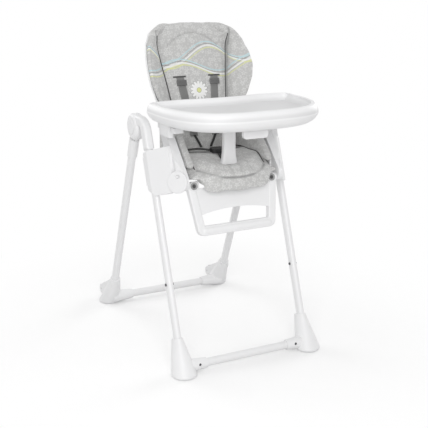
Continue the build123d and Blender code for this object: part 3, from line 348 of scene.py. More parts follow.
for name, piece in nodes.items():
    if slot_of_node[name] in FINISH_OF_SLOT:
        wear(piece, FINISH_OF_SLOT[slot_of_node[name]])
for name in WHITE_NODES:
    wear(nodes[name], white_moulding)
wear(nodes["arm_caps"], cap_moulding)
print("dressed nodes:", sum(slot in FINISH_OF_SLOT for slot in slot_of_node.values()))

# %% [markdown]
# ## Floor and light
# A white sweep and a large soft light from the front left, as in a catalogue, with weak lamps above,
# behind and at the right so that no side is dull. The floor is white to the camera and keeps the chair's
# shadow. Away from the chair it fades into the white background. A dimmer floor for bounced rays keeps
# undersides from washing out.


# %% Floor, world and lamps
AMBIENT = 0.61
FLOOR_GLOW_NEAR = 0.20
FLOOR_BOUNCE = (0.74, 0.74, 0.74)
FLOOR_Z = -0.0005
FLOOR_SIZE = 30.0
FADE_START = 0.5
FADE_END = 1.2
LAMP_AIM = (0, 0, 0.55)
TOP_LAMP_AIM = (0, 0, 0.5)


def direct_rays(pen):
    """1 for rays that come straight, mirrored or through glass from the camera."""
    ray = pen.add("ShaderNodeLightPath").socket.node.outputs
    camera_ray, glossy_ray, glass_ray = (Wire(pen.tree, ray[name]) for name in
                                         ("Is Camera Ray", "Is Glossy Ray", "Is Transmission Ray"))
    return camera_ray.at_least(glossy_ray).at_least(glass_ray)


def make_floor():
    bpy.ops.object.select_all(action="DESELECT")
    bpy.ops.mesh.primitive_plane_add(size=FLOOR_SIZE, location=(0, 0, FLOOR_Z))
    floor = bpy.context.object
    floor.name = "floor"
    material, pen, shader, place = start_finish("floor_white")
    straight = direct_rays(pen)
    feed(shader, Base_Color=straight.mix(colour(*FLOOR_BOUNCE), colour(1, 1, 1)), Roughness=0.9)
    shader.inputs["Specular IOR Level"].default_value = 0.0
    across, deep, _ = place.split()
    far = pen.maths("SQRT", across * across + deep * deep).fade(FADE_END, FADE_START)
    share = straight * (far * (1 - FLOOR_GLOW_NEAR) + FLOOR_GLOW_NEAR)
    glow = pen.add("ShaderNodeEmission", {"Color": colour(1, 1, 1), "Strength": 1.0})
    surface = Wire(pen.tree, shader.outputs[0])
    mixed = pen.add("ShaderNodeMixShader", {0: share, 1: surface, 2: glow})
    pen.tree.links.new(mixed.socket, pen.tree.nodes["Material Output"].inputs["Surface"])
    wear(floor, material)


def make_world():
    world = bpy.data.worlds.new("studio")
    scene.world = world
    world.use_nodes = True
    tree = world.node_tree
    fill = tree.nodes["Background"]
    fill.inputs["Color"].default_value = colour(1, 1, 1)
    level = direct_rays(Wire(tree)) * (1 - AMBIENT) + AMBIENT
    tree.links.new(level.socket, fill.inputs["Strength"])


def lamp(name, place, aim, size, watts):
    data = bpy.data.lights.new(name, "AREA")
    data.shape = "DISK"
    data.size = size
    data.energy = watts
    one = bpy.data.objects.new(name, data)
    one.location = place
    one.rotation_euler = (Vector(aim) - Vector(place)).to_track_quat("-Z", "Y").to_euler()
    scene.collection.objects.link(one)


scene.view_settings.view_transform = "Standard"
make_floor()
make_world()
lamp("key", (-1.5, -3.2, 1.9), LAMP_AIM, 2.4, 61.0)
lamp("top", (-0.6, 0.4, 3.4), TOP_LAMP_AIM, 2.0, 7.0)
lamp("rear", (-1.8, 3.2, 1.9), LAMP_AIM, 2.4, 30.0)
lamp("side", (3.0, 1.0, 1.6), LAMP_AIM, 2.0, 26.0)
print("lamps:", len(bpy.data.lights))

# %% [markdown]
# ## Printed cloth
# The cushions wear a wipe-clean cloth: a pale grey slub weave with a scattered print of small light
# flowers. The pattern has to follow the cloth round the edges, so it reads a UV map that is measured in
# metres along the surface. A flower is drawn round each point of a Voronoi pattern: its edge is a circle
# that swells five times. Smaller ones of the same kind fill the gaps.


# %% Cloth finish
CLOTH_GREY = colour(0.468, 0.466, 0.458)
CLOTH_LIGHT = colour(0.572, 0.571, 0.564)
CLOTH_PRINT = colour(0.735, 0.735, 0.725)
# Dark grey painted along seams and creases as shade.
SEAM_SHADE_GREY = colour(0.20, 0.20, 0.20)
PETALS = 5.0
FLOWER = (44.0, 0.0082)
SPRIG = (96.0, 0.0030)
YARN_SCALE = (140.0, 1500.0)
BLOTCH_SCALE = 55.0
WEAVE_HEIGHT = 0.0007


def flower_print(pen, flat, scale, radius):
    """Mask of small five-petal flowers, one in each cell of a loose pattern."""
    cells = pen.add("ShaderNodeTexVoronoi", {"Vector": flat, "Scale": scale, "Randomness": 0.75},
                    {"voronoi_dimensions": "2D"}, 2)
    tint = Wire(pen.tree, cells.socket.node.outputs[1])
    own = pen.add("ShaderNodeVectorMath", {0: flat, 1: cells}, {"operation": "SUBTRACT"})
    across, up, _ = own.split()
    turn = pen.maths("ARCTAN2", up, across)
    spin = tint.split()[0] * 6.0
    reach = pen.maths("SQRT", across * across + up * up)
    edge = ((turn * PETALS + spin).sine() * 0.24 + 0.76) * radius
    petals = (reach / edge).fade(0.80, 1.05)
    heart = reach.fade(radius * 0.20, radius * 0.34)
    ring = (reach / edge - 0.9).size().fade(0.05, 0.22)
    return (petals * 0.55 + ring * 0.6 - heart * 0.5).at_least(0.0).at_most(1.0)


def slub_weave(pen, flat):
    """Height of a plain weave with uneven yarns."""
    long, fine = YARN_SCALE
    across = pen.add("ShaderNodeMapping", {"Vector": flat, "Scale": (long, fine, 1.0)}).noise(1.0)
    along = pen.add("ShaderNodeMapping", {"Vector": flat, "Scale": (fine, long, 1.0)}).noise(1.0)
    return across * 0.5 + along * 0.5


def cloth_base(name):
    """Start a cloth: its tree, its shader, the UV map as a vector and the printed ground colour."""
    material, pen, shader, _ = start_finish(name)
    flat = pen.add("ShaderNodeUVMap", settings={"uv_map": "cloth"})
    weave = slub_weave(pen, flat)
    blotch = flat.noise(BLOTCH_SCALE, 3.0)
    ground = (weave * 0.75 + blotch * 0.5 - 0.12).mix(CLOTH_GREY, CLOTH_LIGHT)
    flowers = flower_print(pen, flat, *FLOWER).at_least(flower_print(pen, flat, *SPRIG))
    worn = flowers * (blotch * 0.7 + 0.35)
    printed = worn.mix(ground, CLOTH_PRINT)
    feed(shader, Roughness=weave * 0.15 + 0.72, Normal=bump(pen, weave, 0.35, WEAVE_HEIGHT))
    shader.inputs["Sheen Weight"].default_value = 0.25
    shader.inputs["Sheen Roughness"].default_value = 0.5
    shader.inputs["Specular IOR Level"].default_value = 0.3
    return material, pen, shader, flat, printed


def with_seam_shade(pen, tint):
    """Paint shade along the seams and creases that are marked on the mesh, darkening the colour there."""
    seam = pen.add("ShaderNodeAttribute", settings={"attribute_name": "seam"}, output=2)
    return (seam * 0.7).mix(tint, SEAM_SHADE_GREY)


def print_cloth(name):
    """The plain print of the seat and the sides."""
    material, pen, shader, _, printed = cloth_base(name)
    feed(shader, Base_Color=with_seam_shade(pen, printed))
    return material


seat_cloth = print_cloth("seat_cloth")
print("seat cloth nodes:", len(seat_cloth.node_tree.nodes))

# %% [markdown]
# ## A design for the back
# The middle of the back carries a light drawing: fine waves in lemon, white, grey and pale blue run from
# wing to wing, and a plain daisy sits between the straps. It is drawn with distances, as the flowers are,
# on the same UV map, so it stays sharp at any size.

# %% Drawn cloth for the back
LEMON = colour(0.70, 0.72, 0.33)
CHALK = colour(0.86, 0.86, 0.85)
PALE_BLUE = colour(0.50, 0.68, 0.72)
PENCIL = colour(0.22, 0.22, 0.22)
WAVE_MID = 0.335
WAVE_TURNS = 21.0
WAVE_SPREAD = 14.0
WAVES = ((0.000, LEMON, 0.0012), (0.007, CHALK, 0.0018),
         (0.013, PENCIL, 0.0006), (0.020, PALE_BLUE, 0.0014))
WAVE_SETS = ((0.0, 0.034, 0.3), (-0.045, 0.022, 2.6))
DAISY_UP = 0.222
DAISY_R = 0.034
DAISY_TURNS = 7.0
HEART_R = (0.0078, 0.0086)
HEART_LINE = 0.0084


def drawn_cloth(name):
    """The print with the waves and the daisy over it."""
    material, pen, shader, flat, drawn = cloth_base(name)
    across, up, _ = flat.split()
    for lift, swing, phase in WAVE_SETS:
        for shift, tint, half in WAVES:
            swung = (across * WAVE_TURNS + (phase + WAVE_SPREAD * shift)).sine() * swing
            wave = swung + (WAVE_MID + lift + shift)
            line = (up - wave).size().fade(half, half * 2.2)
            drawn = (line * 0.8).mix(drawn, tint)
    rise = up - DAISY_UP
    reach = pen.maths("SQRT", across * across + rise * rise)
    turn = pen.maths("ARCTAN2", rise, across)
    edge = ((turn * DAISY_TURNS).sine().size() * 0.34 + 0.66) * DAISY_R
    near = reach / edge
    drawn = near.fade(0.97, 1.0).mix(drawn, CHALK)
    drawn = ((near - 1.0).size().fade(0.015, 0.05) * 0.8).mix(drawn, PENCIL)
    drawn = reach.fade(*HEART_R).mix(drawn, LEMON)
    drawn = ((reach - HEART_LINE).size().fade(0.0004, 0.0010) * 0.8).mix(drawn, PENCIL)
    feed(shader, Base_Color=with_seam_shade(pen, drawn))
    return material


back_cloth = drawn_cloth("back_cloth")
print("back cloth nodes:", len(back_cloth.node_tree.nodes))

# %% [markdown]
# ## Piping and webbing
# Piping is bound in a plain dark cloth. Harness webbing is woven with ribs across and two bound edges.
# Sine waves along and across its own UV map draw the ribs and the yarns, so they follow every bend of a
# strap.

# %% Finishes of piping and webbing
EDGING_SCALE = 1600.0
EDGING_HEIGHT = 0.0005
RIB_PITCH = 0.0021
YARN_PITCH = 0.0018
WEBBING_HEIGHT = 0.0006
BOUND_EDGE = (0.0125, 0.0105)


def edging(name, tint):
    """Bound cloth of the piping: plain, tightly woven."""
    material, pen, shader, place = start_finish(name)
    yarn = place.noise(EDGING_SCALE, 2.0)
    feed(shader, Base_Color=yarn.mix(shaded(tint, 0.7), colour(*tint)), Roughness=0.8,
         Normal=bump(pen, yarn, 0.4, EDGING_HEIGHT))
    return material


def webbing(name, tint):
    """Woven strap: cross ribs along its length and two bound edges."""
    material, pen, shader, _ = start_finish(name)
    flat = pen.add("ShaderNodeUVMap", settings={"uv_map": "cloth"})
    across, along, _ = flat.split()
    rib = (along * (2 * pi / RIB_PITCH)).sine() * 0.5 + 0.5
    yarn = (across * (2 * pi / YARN_PITCH)).sine() * 0.5 + 0.5
    bound = across.size().fade(*BOUND_EDGE)
    shade = rib * 0.45 + yarn * 0.25 + bound * 0.3
    feed(shader, Base_Color=shade.mix(shaded(tint, 0.72), shaded(tint, 1.18)),
         Roughness=0.62, Normal=bump(pen, rib * 0.6 + yarn * 0.4, 0.5, WEBBING_HEIGHT))
    return material


dark_edging = edging("dark_edging", (0.085, 0.085, 0.085))
grey_webbing = webbing("grey_webbing", (0.215, 0.215, 0.212))
dark_webbing = webbing("dark_webbing", (0.030, 0.030, 0.030))
print("finishes in all:", len(bpy.data.materials))

# %% [markdown]
# ## Padding
# A foam cushion in a sewn cover is never a block: the cover is drawn tight over the foam, so faces crown
# and edges round off. Each pad starts as a copy of its CAD solid, drawn in a little and remeshed to even
# quads. A short cloth simulation with pressure inside and no gravity then swells it. The real cover is
# held at its rim, so the outward part of the travel is kept, scaled to a cap, and the inward pull at the
# rim is mostly left out. Sculpting by hand could do the same, but a simulation gives the same result on
# each run.

# %% Tools for pads
PAD_FRAMES = 20
PAD_PRESSURE = 4.0
FULL_TRAVEL = 98
SMOOTH_STEPS = 6
MERGE_WITHIN = 0.00002
RIM_SLACK = 0.1
SEAM_WIDTH = 0.0026
FAR = 1.0


def only(piece):
    """Make a piece the only selected one, and the active one."""
    bpy.ops.object.select_all(action="DESELECT")
    piece.select_set(True)
    bpy.context.view_layer.objects.active = piece


def ramp(value, start, end):
    """0 at start, 1 at end, smooth between."""
    share = np.clip((value - start) / (end - start), 0.0, 1.0)
    return share * share * (3 - 2 * share)


def read_points(mesh, field="co"):
    values = np.empty(len(mesh.vertices) * 3)
    mesh.vertices.foreach_get(field, values)
    return values.reshape(-1, 3)


def write_points(piece, points):
    piece.data.vertices.foreach_set("co", points.ravel())
    piece.data.update()


def finish_with(piece, kind, **settings):
    """Add one modifier and apply it."""
    only(piece)
    step = piece.modifiers.new(kind.lower(), kind)
    for key, value in settings.items():
        setattr(step, key, value)
    bpy.ops.object.modifier_apply(modifier=step.name)


def start_pad(node, name, tuck, voxel):
    """Copy of a CAD solid, remeshed evenly, smoothed and drawn in."""
    pad = bpy.data.objects.new(name, nodes[node].data.copy())
    scene.collection.objects.link(pad)
    only(pad)
    bpy.ops.mesh.customdata_custom_splitnormals_clear()
    bpy.ops.object.mode_set(mode="EDIT")
    bpy.ops.mesh.select_all(action="SELECT")
    bpy.ops.mesh.remove_doubles(threshold=MERGE_WITHIN)
    bpy.ops.object.mode_set(mode="OBJECT")
    finish_with(pad, "REMESH", mode="VOXEL", voxel_size=voxel)
    finish_with(pad, "SMOOTH", factor=0.5, iterations=SMOOTH_STEPS)
    finish_with(pad, "DISPLACE", strength=-tuck, mid_level=0.0)
    return pad


def swell(pad, cap, rest_side):
    """Blow the cover up and scale its outward travel to the cap. It stays flat on the side it rests on."""
    rest = read_points(pad.data)
    normals = read_points(pad.data, "normal")
    cover = pad.modifiers.new("cover", "CLOTH")
    cover.settings.use_pressure = True
    cover.settings.uniform_pressure_force = PAD_PRESSURE
    cover.settings.effector_weights.gravity = 0.0
    for step in range(1, PAD_FRAMES + 1):
        scene.frame_set(step)
    shape = pad.evaluated_get(bpy.context.evaluated_depsgraph_get()).to_mesh()
    move = read_points(shape) - rest
    pad.modifiers.remove(cover)
    scene.frame_set(1)
    travel = (move * normals).sum(axis=1)
    free = 1.0 - ramp(normals @ np.array(rest_side), 0.0, 0.5)
    share = np.clip(travel / np.percentile(travel, FULL_TRAVEL), -RIM_SLACK, 1.0) * free
    write_points(pad, rest + normals * (cap * share)[:, None])
    finish_with(pad, "SMOOTH", factor=0.5, iterations=SMOOTH_STEPS)
    print(pad.name, "swelled by up to", round(1000 * cap, 1), "mm")


def sew(pad, away, depth, width, shade=1.0):
    """Draw the cover in along a seam, given each point's distance from it, and mark it for the shade
    painted there in the cloth.
    """
    points = read_points(pad.data)
    normals = read_points(pad.data, "normal")
    pull = depth * np.exp(-((away / width) ** 2))
    write_points(pad, points - normals * pull[:, None])
    mark = pad.data.attributes.get("seam") or pad.data.attributes.new("seam", "FLOAT", "POINT")
    line = np.empty(len(points))
    mark.data.foreach_get("value", line)
    painted_seam_shade = shade * np.exp(-((away / SEAM_WIDTH) ** 2))
    mark.data.foreach_set("value", np.maximum(line, painted_seam_shade))


def crumple(pad, depth, scale):
    """Soft unevenness of a filled cover."""
    points = read_points(pad.data)
    normals = read_points(pad.data, "normal")
    wave = np.array([noise.noise(Vector(one) * scale) for one in points])
    write_points(pad, points + normals * (depth * wave)[:, None])


def map_cloth(piece, flat):
    """UV map in metres from an array of flat places, one for each point."""
    layer = piece.data.uv_layers.new(name="cloth")
    corner = np.empty(len(piece.data.loops), dtype=np.int32)
    piece.data.loops.foreach_get("vertex_index", corner)
    layer.data.foreach_set("uv", flat[corner].ravel())


def close_pad(pad, node, body, material):
    """Shade and dress a finished pad, attach it to its body and hide its CAD node."""
    only(pad)
    bpy.ops.object.shade_smooth()
    wear(pad, material)
    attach(pad, body)
    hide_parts(node)
    print(pad.name, "faces:", len(pad.data.polygons))


# %% [markdown]
# ## Back cushion
# The back is a wide panel with two wings that fold forward at a seam with dark piping. An arched seam
# crosses the top. Before the swelling the top is filled out and hooded over the shell and the lower edge
# is brought down to the seat. The seams are drawn in after it, since remeshing would lose them.

# %% Back cushion
BACK_PIVOT = np.array((0.0, 0.024, 0.628))
BACK_LEAN = radians(18.0)
BACK_REAR = np.array((0.0, cos(BACK_LEAN), -sin(BACK_LEAN)))
BACK_UP = np.array((0.0, sin(BACK_LEAN), cos(BACK_LEAN)))
BACK_FACE = -0.046
BACK_HEIGHT = 0.461
CREASE_LOW = 0.098
CREASE_TOP = 0.140
CREASE_FROM = 0.153
BACK_TUCK = 0.003
BACK_VOXEL = 0.005
BACK_CAP = 0.010
BACK_CRUMPLE = (0.0022, 14.0)
CORNER_DROP = 0.005
CORNER_RANGE = (0.39, 0.455)
CORNER_MOST = 1.15
SEAT_REACH = 0.024
REACH_RANGE = (0.080, 0.015)
FACE_RANGE = (0.018, 0.036)
TOP_FILL = 0.009
FILL_RANGE = (0.360, 0.425)
HOOD_DEPTH = 0.014
HOOD_RANGE = (0.398, 0.404)
REAR_FACING = (0.1, 0.4)
FRONT_FACING = 0.15
FOLD_RANGE = (0.1, 0.43)
FOLD_SEAM = (0.006, 0.009)
# The third value is the strength of the shade painted along the arch seam.
ARCH_SEAM = (0.004, 0.0055, 0.45)
ARCH_TOP = 0.423
ARCH_DROP = 0.044
ARCH_HALF = 0.093


def on_back(x, rear, up):
    """A place in the chair's frame, from its place in the leaning back's own."""
    return BACK_PIVOT + np.array((x, 0.0, 0.0)) + BACK_REAR * rear + BACK_UP * up


def back_places(points):
    """Across, rearward and upward places of points in the leaning back's own frame."""
    own = points - BACK_PIVOT
    return own[:, 0], own @ BACK_REAR, own @ BACK_UP


def crease_x(up):
    """Distance of a wing's fold from the middle. The two folds spread towards the top."""
    share = np.maximum(0.0, up - CREASE_FROM) / (BACK_HEIGHT - CREASE_FROM)
    return CREASE_LOW + (CREASE_TOP - CREASE_LOW) * share


def arch_seam(x):
    """Height of the arched seam near the top."""
    return ARCH_TOP - ARCH_DROP * (x / ARCH_HALF) ** 2


def shape_back(pad):
    """Fill the top out, pull it over the shell's top as a hood, and bring the face down to the seat."""
    points = read_points(pad.data)
    normals = read_points(pad.data, "normal")
    x, rear, up = back_places(points)
    drop = CORNER_DROP * np.clip(np.abs(x) / CREASE_TOP, 0.0, CORNER_MOST) ** 3 * ramp(up, *CORNER_RANGE)
    drop += SEAT_REACH * ramp(up, *REACH_RANGE) * ramp(-rear, *FACE_RANGE)
    behind = ramp(normals @ BACK_REAR, *REAR_FACING)
    full = TOP_FILL * ramp(up, *FILL_RANGE) * (1 - behind)
    hood = HOOD_DEPTH * ramp(up, *HOOD_RANGE) * behind
    moved = points + full[:, None] * normals + hood[:, None] * BACK_REAR
    write_points(pad, moved - drop[:, None] * BACK_UP)


def make_back_cushion():
    pad = start_pad("back_cushion", "back_pad", BACK_TUCK, BACK_VOXEL)
    shape_back(pad)
    swell(pad, BACK_CAP, BACK_REAR)
    crumple(pad, *BACK_CRUMPLE)
    finish_with(pad, "SUBSURF", levels=1, render_levels=1)
    points = read_points(pad.data)
    x, rear, up = back_places(points)
    front = read_points(pad.data, "normal") @ BACK_REAR < FRONT_FACING
    fold = crease_x(up)
    folded = front & (up > FOLD_RANGE[0]) & (up < FOLD_RANGE[1])
    sew(pad, np.where(folded, np.abs(x) - fold, FAR), *FOLD_SEAM)
    sew(pad, np.where(front & (np.abs(x) < ARCH_HALF), up - arch_seam(x), FAR), *ARCH_SEAM)
    wing = np.maximum(np.abs(x) - fold, 0.0)
    reach = np.hypot(wing, np.where(wing > 0, rear - BACK_FACE, 0.0))
    run = np.sign(x) * (np.minimum(np.abs(x), fold) + reach)
    map_cloth(pad, np.stack((run, up), axis=1))
    close_pad(pad, "back_cushion", "backrest", back_cloth)
    return pad


back_pad = make_back_cushion()

# %% [markdown]
# ## Seat cushion
# The seat has a bowed front with a seam along it and an apron that hangs over the front edge. Its filling
# rises round a hollow where the post presses on it, and short creases run from there to the seam. It is
# made in the same way as the back.

# %% Seat cushion
ROLL_FROM = 0.628
SEAT_EDGE = 0.127
SEAM_WIDE = 0.002
SEAM_HALF = 0.122
SEAM_LOW = 0.6175
SEAT_FRONT = -0.275
SEAT_TUCK = 0.002
SEAT_VOXEL = 0.004
SEAT_CAP = 0.007
SEAT_CRUMPLE = (0.0020, 18.0)
SEAT_RISE = 0.028
RISE_RANGE = (0.0, 0.060)
TOP_RANGE = (0.612, 0.634)
POST_Y = -0.189
POST_HOLLOW = (0.060, 0.055)
HEM_MIDDLE = 0.006
HEM_ASIDE = ((0.014, 0.040, 0.085), (0.006, 0.088, 0.100))
HEM_END = (0.125, 0.114)
HEM_DEPTH = (0.032, 0.014)
HEM_HEIGHT = (0.626, 0.610)
REAR_STRETCH = 0.020
REAR_RANGE = (-0.090, -0.034)
SEAM_IN = 0.004
SEAM_BOW = 0.065
SEAM_RISE = 0.0205
FRONT_SEAM = (0.0035, 0.005)
# The third value is the strength of the shade painted along the creases.
CREASE_SEAM = (0.0022, 0.005, 0.15)
SEAT_CREASES = (((-0.026, -0.205), (-0.016, -0.262)), ((0.020, -0.208), (0.012, -0.262)),
                ((0.048, -0.195), (0.050, -0.255)))


def front_seam(x):
    """Depth of the seam along the bowed front."""
    return SEAT_FRONT + SEAM_IN + SEAM_BOW * np.abs(x / SEAM_HALF) ** 3


def shape_seat(pad):
    """Raise the filling round the post, bring the hem down to the footrest and the rear up to the back."""
    points = read_points(pad.data)
    x, y, z = points.T
    aside = np.abs(x)
    pressed = np.exp(-((x / POST_HOLLOW[0]) ** 2) - ((y - POST_Y) / POST_HOLLOW[1]) ** 2)
    inward = y - front_seam(np.minimum(aside, SEAM_HALF))
    rise = SEAT_RISE * ramp(inward, *RISE_RANGE) * (1 - pressed)
    hem = HEM_MIDDLE
    for more, start, end in HEM_ASIDE:
        hem = hem + more * ramp(aside, start, end)
    hem *= ramp(aside, *HEM_END) * ramp(inward, *HEM_DEPTH)
    rear = REAR_STRETCH * ramp(y, *REAR_RANGE)
    lift = rise * ramp(z, *TOP_RANGE) - hem * ramp(z, *HEM_HEIGHT)
    write_points(pad, points + np.stack((np.zeros(len(x)), rear, lift), axis=1))


def line_away(points, start, end):
    """Distance of points from a line on the seat, seen from above."""
    start, end = np.array(start), np.array(end)
    run = end - start
    own = points[:, :2] - start
    share = np.clip(own @ run / (run @ run), 0.0, 1.0)
    return np.linalg.norm(own - share[:, None] * run, axis=1)


def seam_away(points):
    """Distance of points from the seam along the seat's front."""
    share = np.linspace(-1.0, 1.0, 160)
    x = SEAM_HALF * share
    seam = np.stack((x, front_seam(x), SEAM_LOW + SEAM_RISE * share ** 2), axis=1)
    away = np.full(len(points), FAR)
    for place in seam:
        away = np.minimum(away, np.linalg.norm(points - place, axis=1))
    return away


def make_seat_cushion():
    pad = start_pad("seat_cushion", "seat_pad", SEAT_TUCK, SEAT_VOXEL)
    shape_seat(pad)
    swell(pad, SEAT_CAP, (0, 0, -1))
    crumple(pad, *SEAT_CRUMPLE)
    finish_with(pad, "SUBSURF", levels=1, render_levels=1)
    points = read_points(pad.data)
    x, y, z = points.T
    sew(pad, np.maximum(seam_away(points) - SEAM_WIDE, 0.0), *FRONT_SEAM)
    for start, end in SEAT_CREASES:
        sew(pad, np.where(z > SEAM_LOW, line_away(points, start, end), FAR), *CREASE_SEAM)
    drop = np.maximum(ROLL_FROM - z, 0.0)
    map_cloth(pad, np.stack((x, y - drop), axis=1))
    close_pad(pad, "seat_cushion", "carriage", seat_cloth)
    return pad


seat_pad = make_seat_cushion()

# %% [markdown]
# ## Side cushions
# The side cushions line the arms and are stretched rearward, so that the cover closes at the back. They
# are plain, so they need no seams.

# %% Side cushions
SIDE_TUCK = 0.001
SIDE_CAP = 0.006
SIDE_STRETCH = 0.060
SIDE_REAR = (-0.100, -0.034)
SIDE_SAG = 0.026
SIDE_LOW = (0.700, 0.650)
SIDE_TURN = 0.6


def make_side_cushion(side):
    pad = start_pad("side_cushion_" + side, "side_pad_" + side, SIDE_TUCK, SEAT_VOXEL)
    points = read_points(pad.data)
    rear = ramp(points[:, 1], *SIDE_REAR)
    points[:, 1] += SIDE_STRETCH * rear
    points[:, 2] -= SIDE_SAG * rear * ramp(points[:, 2], *SIDE_LOW)
    write_points(pad, points)
    swell(pad, SIDE_CAP, (1 if side == "right" else -1, 0, 0))
    finish_with(pad, "SUBSURF", levels=1, render_levels=1)
    points = read_points(pad.data)
    x, y, z = points.T
    map_cloth(pad, np.stack((y + SIDE_TURN * np.abs(x), z), axis=1))
    close_pad(pad, "side_cushion_" + side, "carriage", seat_cloth)


for side in ("left", "right"):
    make_side_cushion(side)

# %% [markdown]
# ## Piping
# The seam of each wing is finished with a dark corded edge, and so are the sides of the seat. A curve is
# laid along the seam on the pad's own surface, found by casting rays at it, and given a round section. A
# bevelled edge of the pad itself would do, but only on a much finer mesh.

# %% Piping
FROM_FRONT = -0.3
FROM_ABOVE = 0.8
WING_PIPING_RUN = (0.150, 0.412, 24)
WING_PIPING_R = 0.0017
WING_PIPING_LIFT = 0.0004
SEAT_PIPING_RUN = (-0.198, -0.036, 16)
SEAT_PIPING_R = 0.0018
SEAT_PIPING_LIFT = 0.0008

back_tree = BVHTree.FromObject(back_pad, bpy.context.evaluated_depsgraph_get())
seat_tree = BVHTree.FromObject(seat_pad, bpy.context.evaluated_depsgraph_get())


def back_surface(x, up):
    """Rearward place of the pad's front at a place on the back."""
    start = Vector(on_back(x, FROM_FRONT, up))
    hit, _, _, _ = back_tree.ray_cast(start, Vector(BACK_REAR))
    return float((np.array(hit) - BACK_PIVOT) @ BACK_REAR)


def seat_surface(x, y):
    """Height of the seat pad at a place."""
    hit, _, _, _ = seat_tree.ray_cast(Vector((x, y, FROM_ABOVE)), Vector((0, 0, -1)))
    return hit.z


def make_piping(name, places, radius, body):
    """A round cord along points, made into a mesh."""
    curve = bpy.data.curves.new(name, "CURVE")
    curve.dimensions = "3D"
    line = curve.splines.new("NURBS")
    line.points.add(len(places) - 1)
    for point, place in zip(line.points, places):
        point.co = (*place, 1.0)
    line.order_u = 3
    line.use_endpoint_u = True
    curve.bevel_depth = radius
    curve.bevel_resolution = 3
    curve.use_fill_caps = True
    cord = bpy.data.objects.new(name, curve)
    scene.collection.objects.link(cord)
    only(cord)
    bpy.ops.object.convert(target="MESH")
    bpy.ops.object.shade_smooth()
    cord = bpy.context.object
    wear(cord, dark_edging)
    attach(cord, body)
    return cord


cords = []
for side, turn in (("left", -1), ("right", 1)):
    seam = []
    for up in np.linspace(*WING_PIPING_RUN):
        x = turn * crease_x(up)
        seam.append(on_back(x, back_surface(x, up) - WING_PIPING_LIFT, up))
    cords.append(make_piping("wing_piping_" + side, seam, WING_PIPING_R, "backrest"))
    x = turn * SEAT_EDGE
    edge = [(x, y, seat_surface(x, y) + SEAT_PIPING_LIFT) for y in np.linspace(*SEAT_PIPING_RUN)]
    cords.append(make_piping("seat_piping_" + side, edge, SEAT_PIPING_R, "carriage"))
print("piping:", [cord.name for cord in cords])

# %% [markdown]
# ## Harness
# The shoulder straps come out of two slots in the back and run down its face. Thin straps lead on from
# their ends towards the buckle. Webbing is modelled directly: a grid is laid along a path, then given its
# thickness. Draping it by simulation would add nothing, as it lies flat on the pad.

# %% Harness
STRAP_CELLS = 4
STRAP_WIDTH = 0.028
STRAP_THICK = 0.0022
STRAP_FEEL = (-0.013, -0.006, 0.0, 0.006, 0.013)
STRAP_LOW_X = 0.038
STRAP_SPREAD = 0.026
STRAP_LOW_UP = 0.044
STRAP_RUN = 0.222
STRAP_TOP = 0.268
SLOT_UP = 0.004
SLOT_X = 0.0642
SLOT_DEPTH = 0.010
STRAP_END = 0.066
TAIL_END = 0.026
TAIL_WIDTH = 0.009
TAIL_X = 0.018
TAIL_LAP = 0.004
TAIL_FEEL = (-0.004, 0.0, 0.004)


def make_strap(name, path, across, width, material):
    """A strap along a path of points, with its width along across."""
    bpy.ops.object.select_all(action="DESELECT")
    bpy.ops.mesh.primitive_grid_add(x_subdivisions=STRAP_CELLS, y_subdivisions=len(path) - 1, size=1.0)
    strap = bpy.context.object
    strap.name = name
    path = np.array(path)
    share = np.linspace(-0.5, 0.5, STRAP_CELLS + 1) * width
    points = (path[:, None, :] + share[None, :, None] * np.array(across)).reshape(-1, 3)
    write_points(strap, points)
    run = np.concatenate(([0.0], np.cumsum(np.linalg.norm(np.diff(path, axis=0), axis=1))))
    flat = np.stack((np.tile(share, len(path)), np.repeat(run, STRAP_CELLS + 1)), axis=1)
    while strap.data.uv_layers:
        strap.data.uv_layers.remove(strap.data.uv_layers[0])
    map_cloth(strap, flat)
    finish_with(strap, "SOLIDIFY", thickness=STRAP_THICK, offset=0.0)
    finish_with(strap, "BEVEL", width=STRAP_THICK / 4, segments=2, limit_method="ANGLE")
    only(strap)
    bpy.ops.object.shade_smooth_by_angle(angle=radians(40))
    wear(strap, material)
    return strap


def joined(first, *others):
    """One piece from several."""
    only(first)
    for one in others:
        one.select_set(True)
    bpy.ops.object.join()
    return bpy.context.object


def strap_x(up):
    """Middle of a shoulder strap from the chair's middle, at a height up the back."""
    return STRAP_LOW_X + STRAP_SPREAD * (up - STRAP_LOW_UP) / STRAP_RUN


def shoulder_path(turn):
    """Places down the back from a slot, on the highest part of the pad under the strap."""
    path = []
    for up in np.linspace(STRAP_TOP, STRAP_END, 34):
        x = turn * strap_x(up)
        rest = min(back_surface(x + shift, up) for shift in STRAP_FEEL)
        path.append(on_back(x, rest - 0.6 * STRAP_THICK, up))
    x = turn * SLOT_X
    into = on_back(x, back_surface(x, STRAP_TOP) + SLOT_DEPTH, STRAP_TOP + SLOT_UP)
    return [into, *path]


def tail_path(turn):
    """Places of a thin strap from a shoulder strap's end to the buckle, on the pad."""
    path = []
    for share in np.linspace(0.0, 1.0, 10):
        up = STRAP_END + TAIL_LAP + (TAIL_END - STRAP_END - TAIL_LAP) * share
        x = turn * (strap_x(STRAP_END) * (1 - share) + TAIL_X * share)
        rest = min(back_surface(x + shift, up) for shift in TAIL_FEEL)
        path.append(on_back(x, rest - 1.3 * STRAP_THICK, up))
    return path


straps = [make_strap("shoulder_webbing", shoulder_path(turn), (1, 0, 0), STRAP_WIDTH, grey_webbing)
          for turn in (1, -1)]
tails = [make_strap("strap_tail", tail_path(turn), (1, 0, 0), TAIL_WIDTH, dark_webbing)
         for turn in (-1, 1)]
shoulder_webbing = joined(*straps, *tails)
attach(shoulder_webbing, "backrest")
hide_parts("shoulder_straps")
print("shoulder webbing:", len(shoulder_webbing.data.polygons), "faces")

# %% [markdown]
# ## Slots and sliders
# Each strap comes out of a bound slot and through a ribbed slider. The slot's binding is a short strap
# laid across, and the slider a bevelled block with four ribs, turned to lean as the back does.

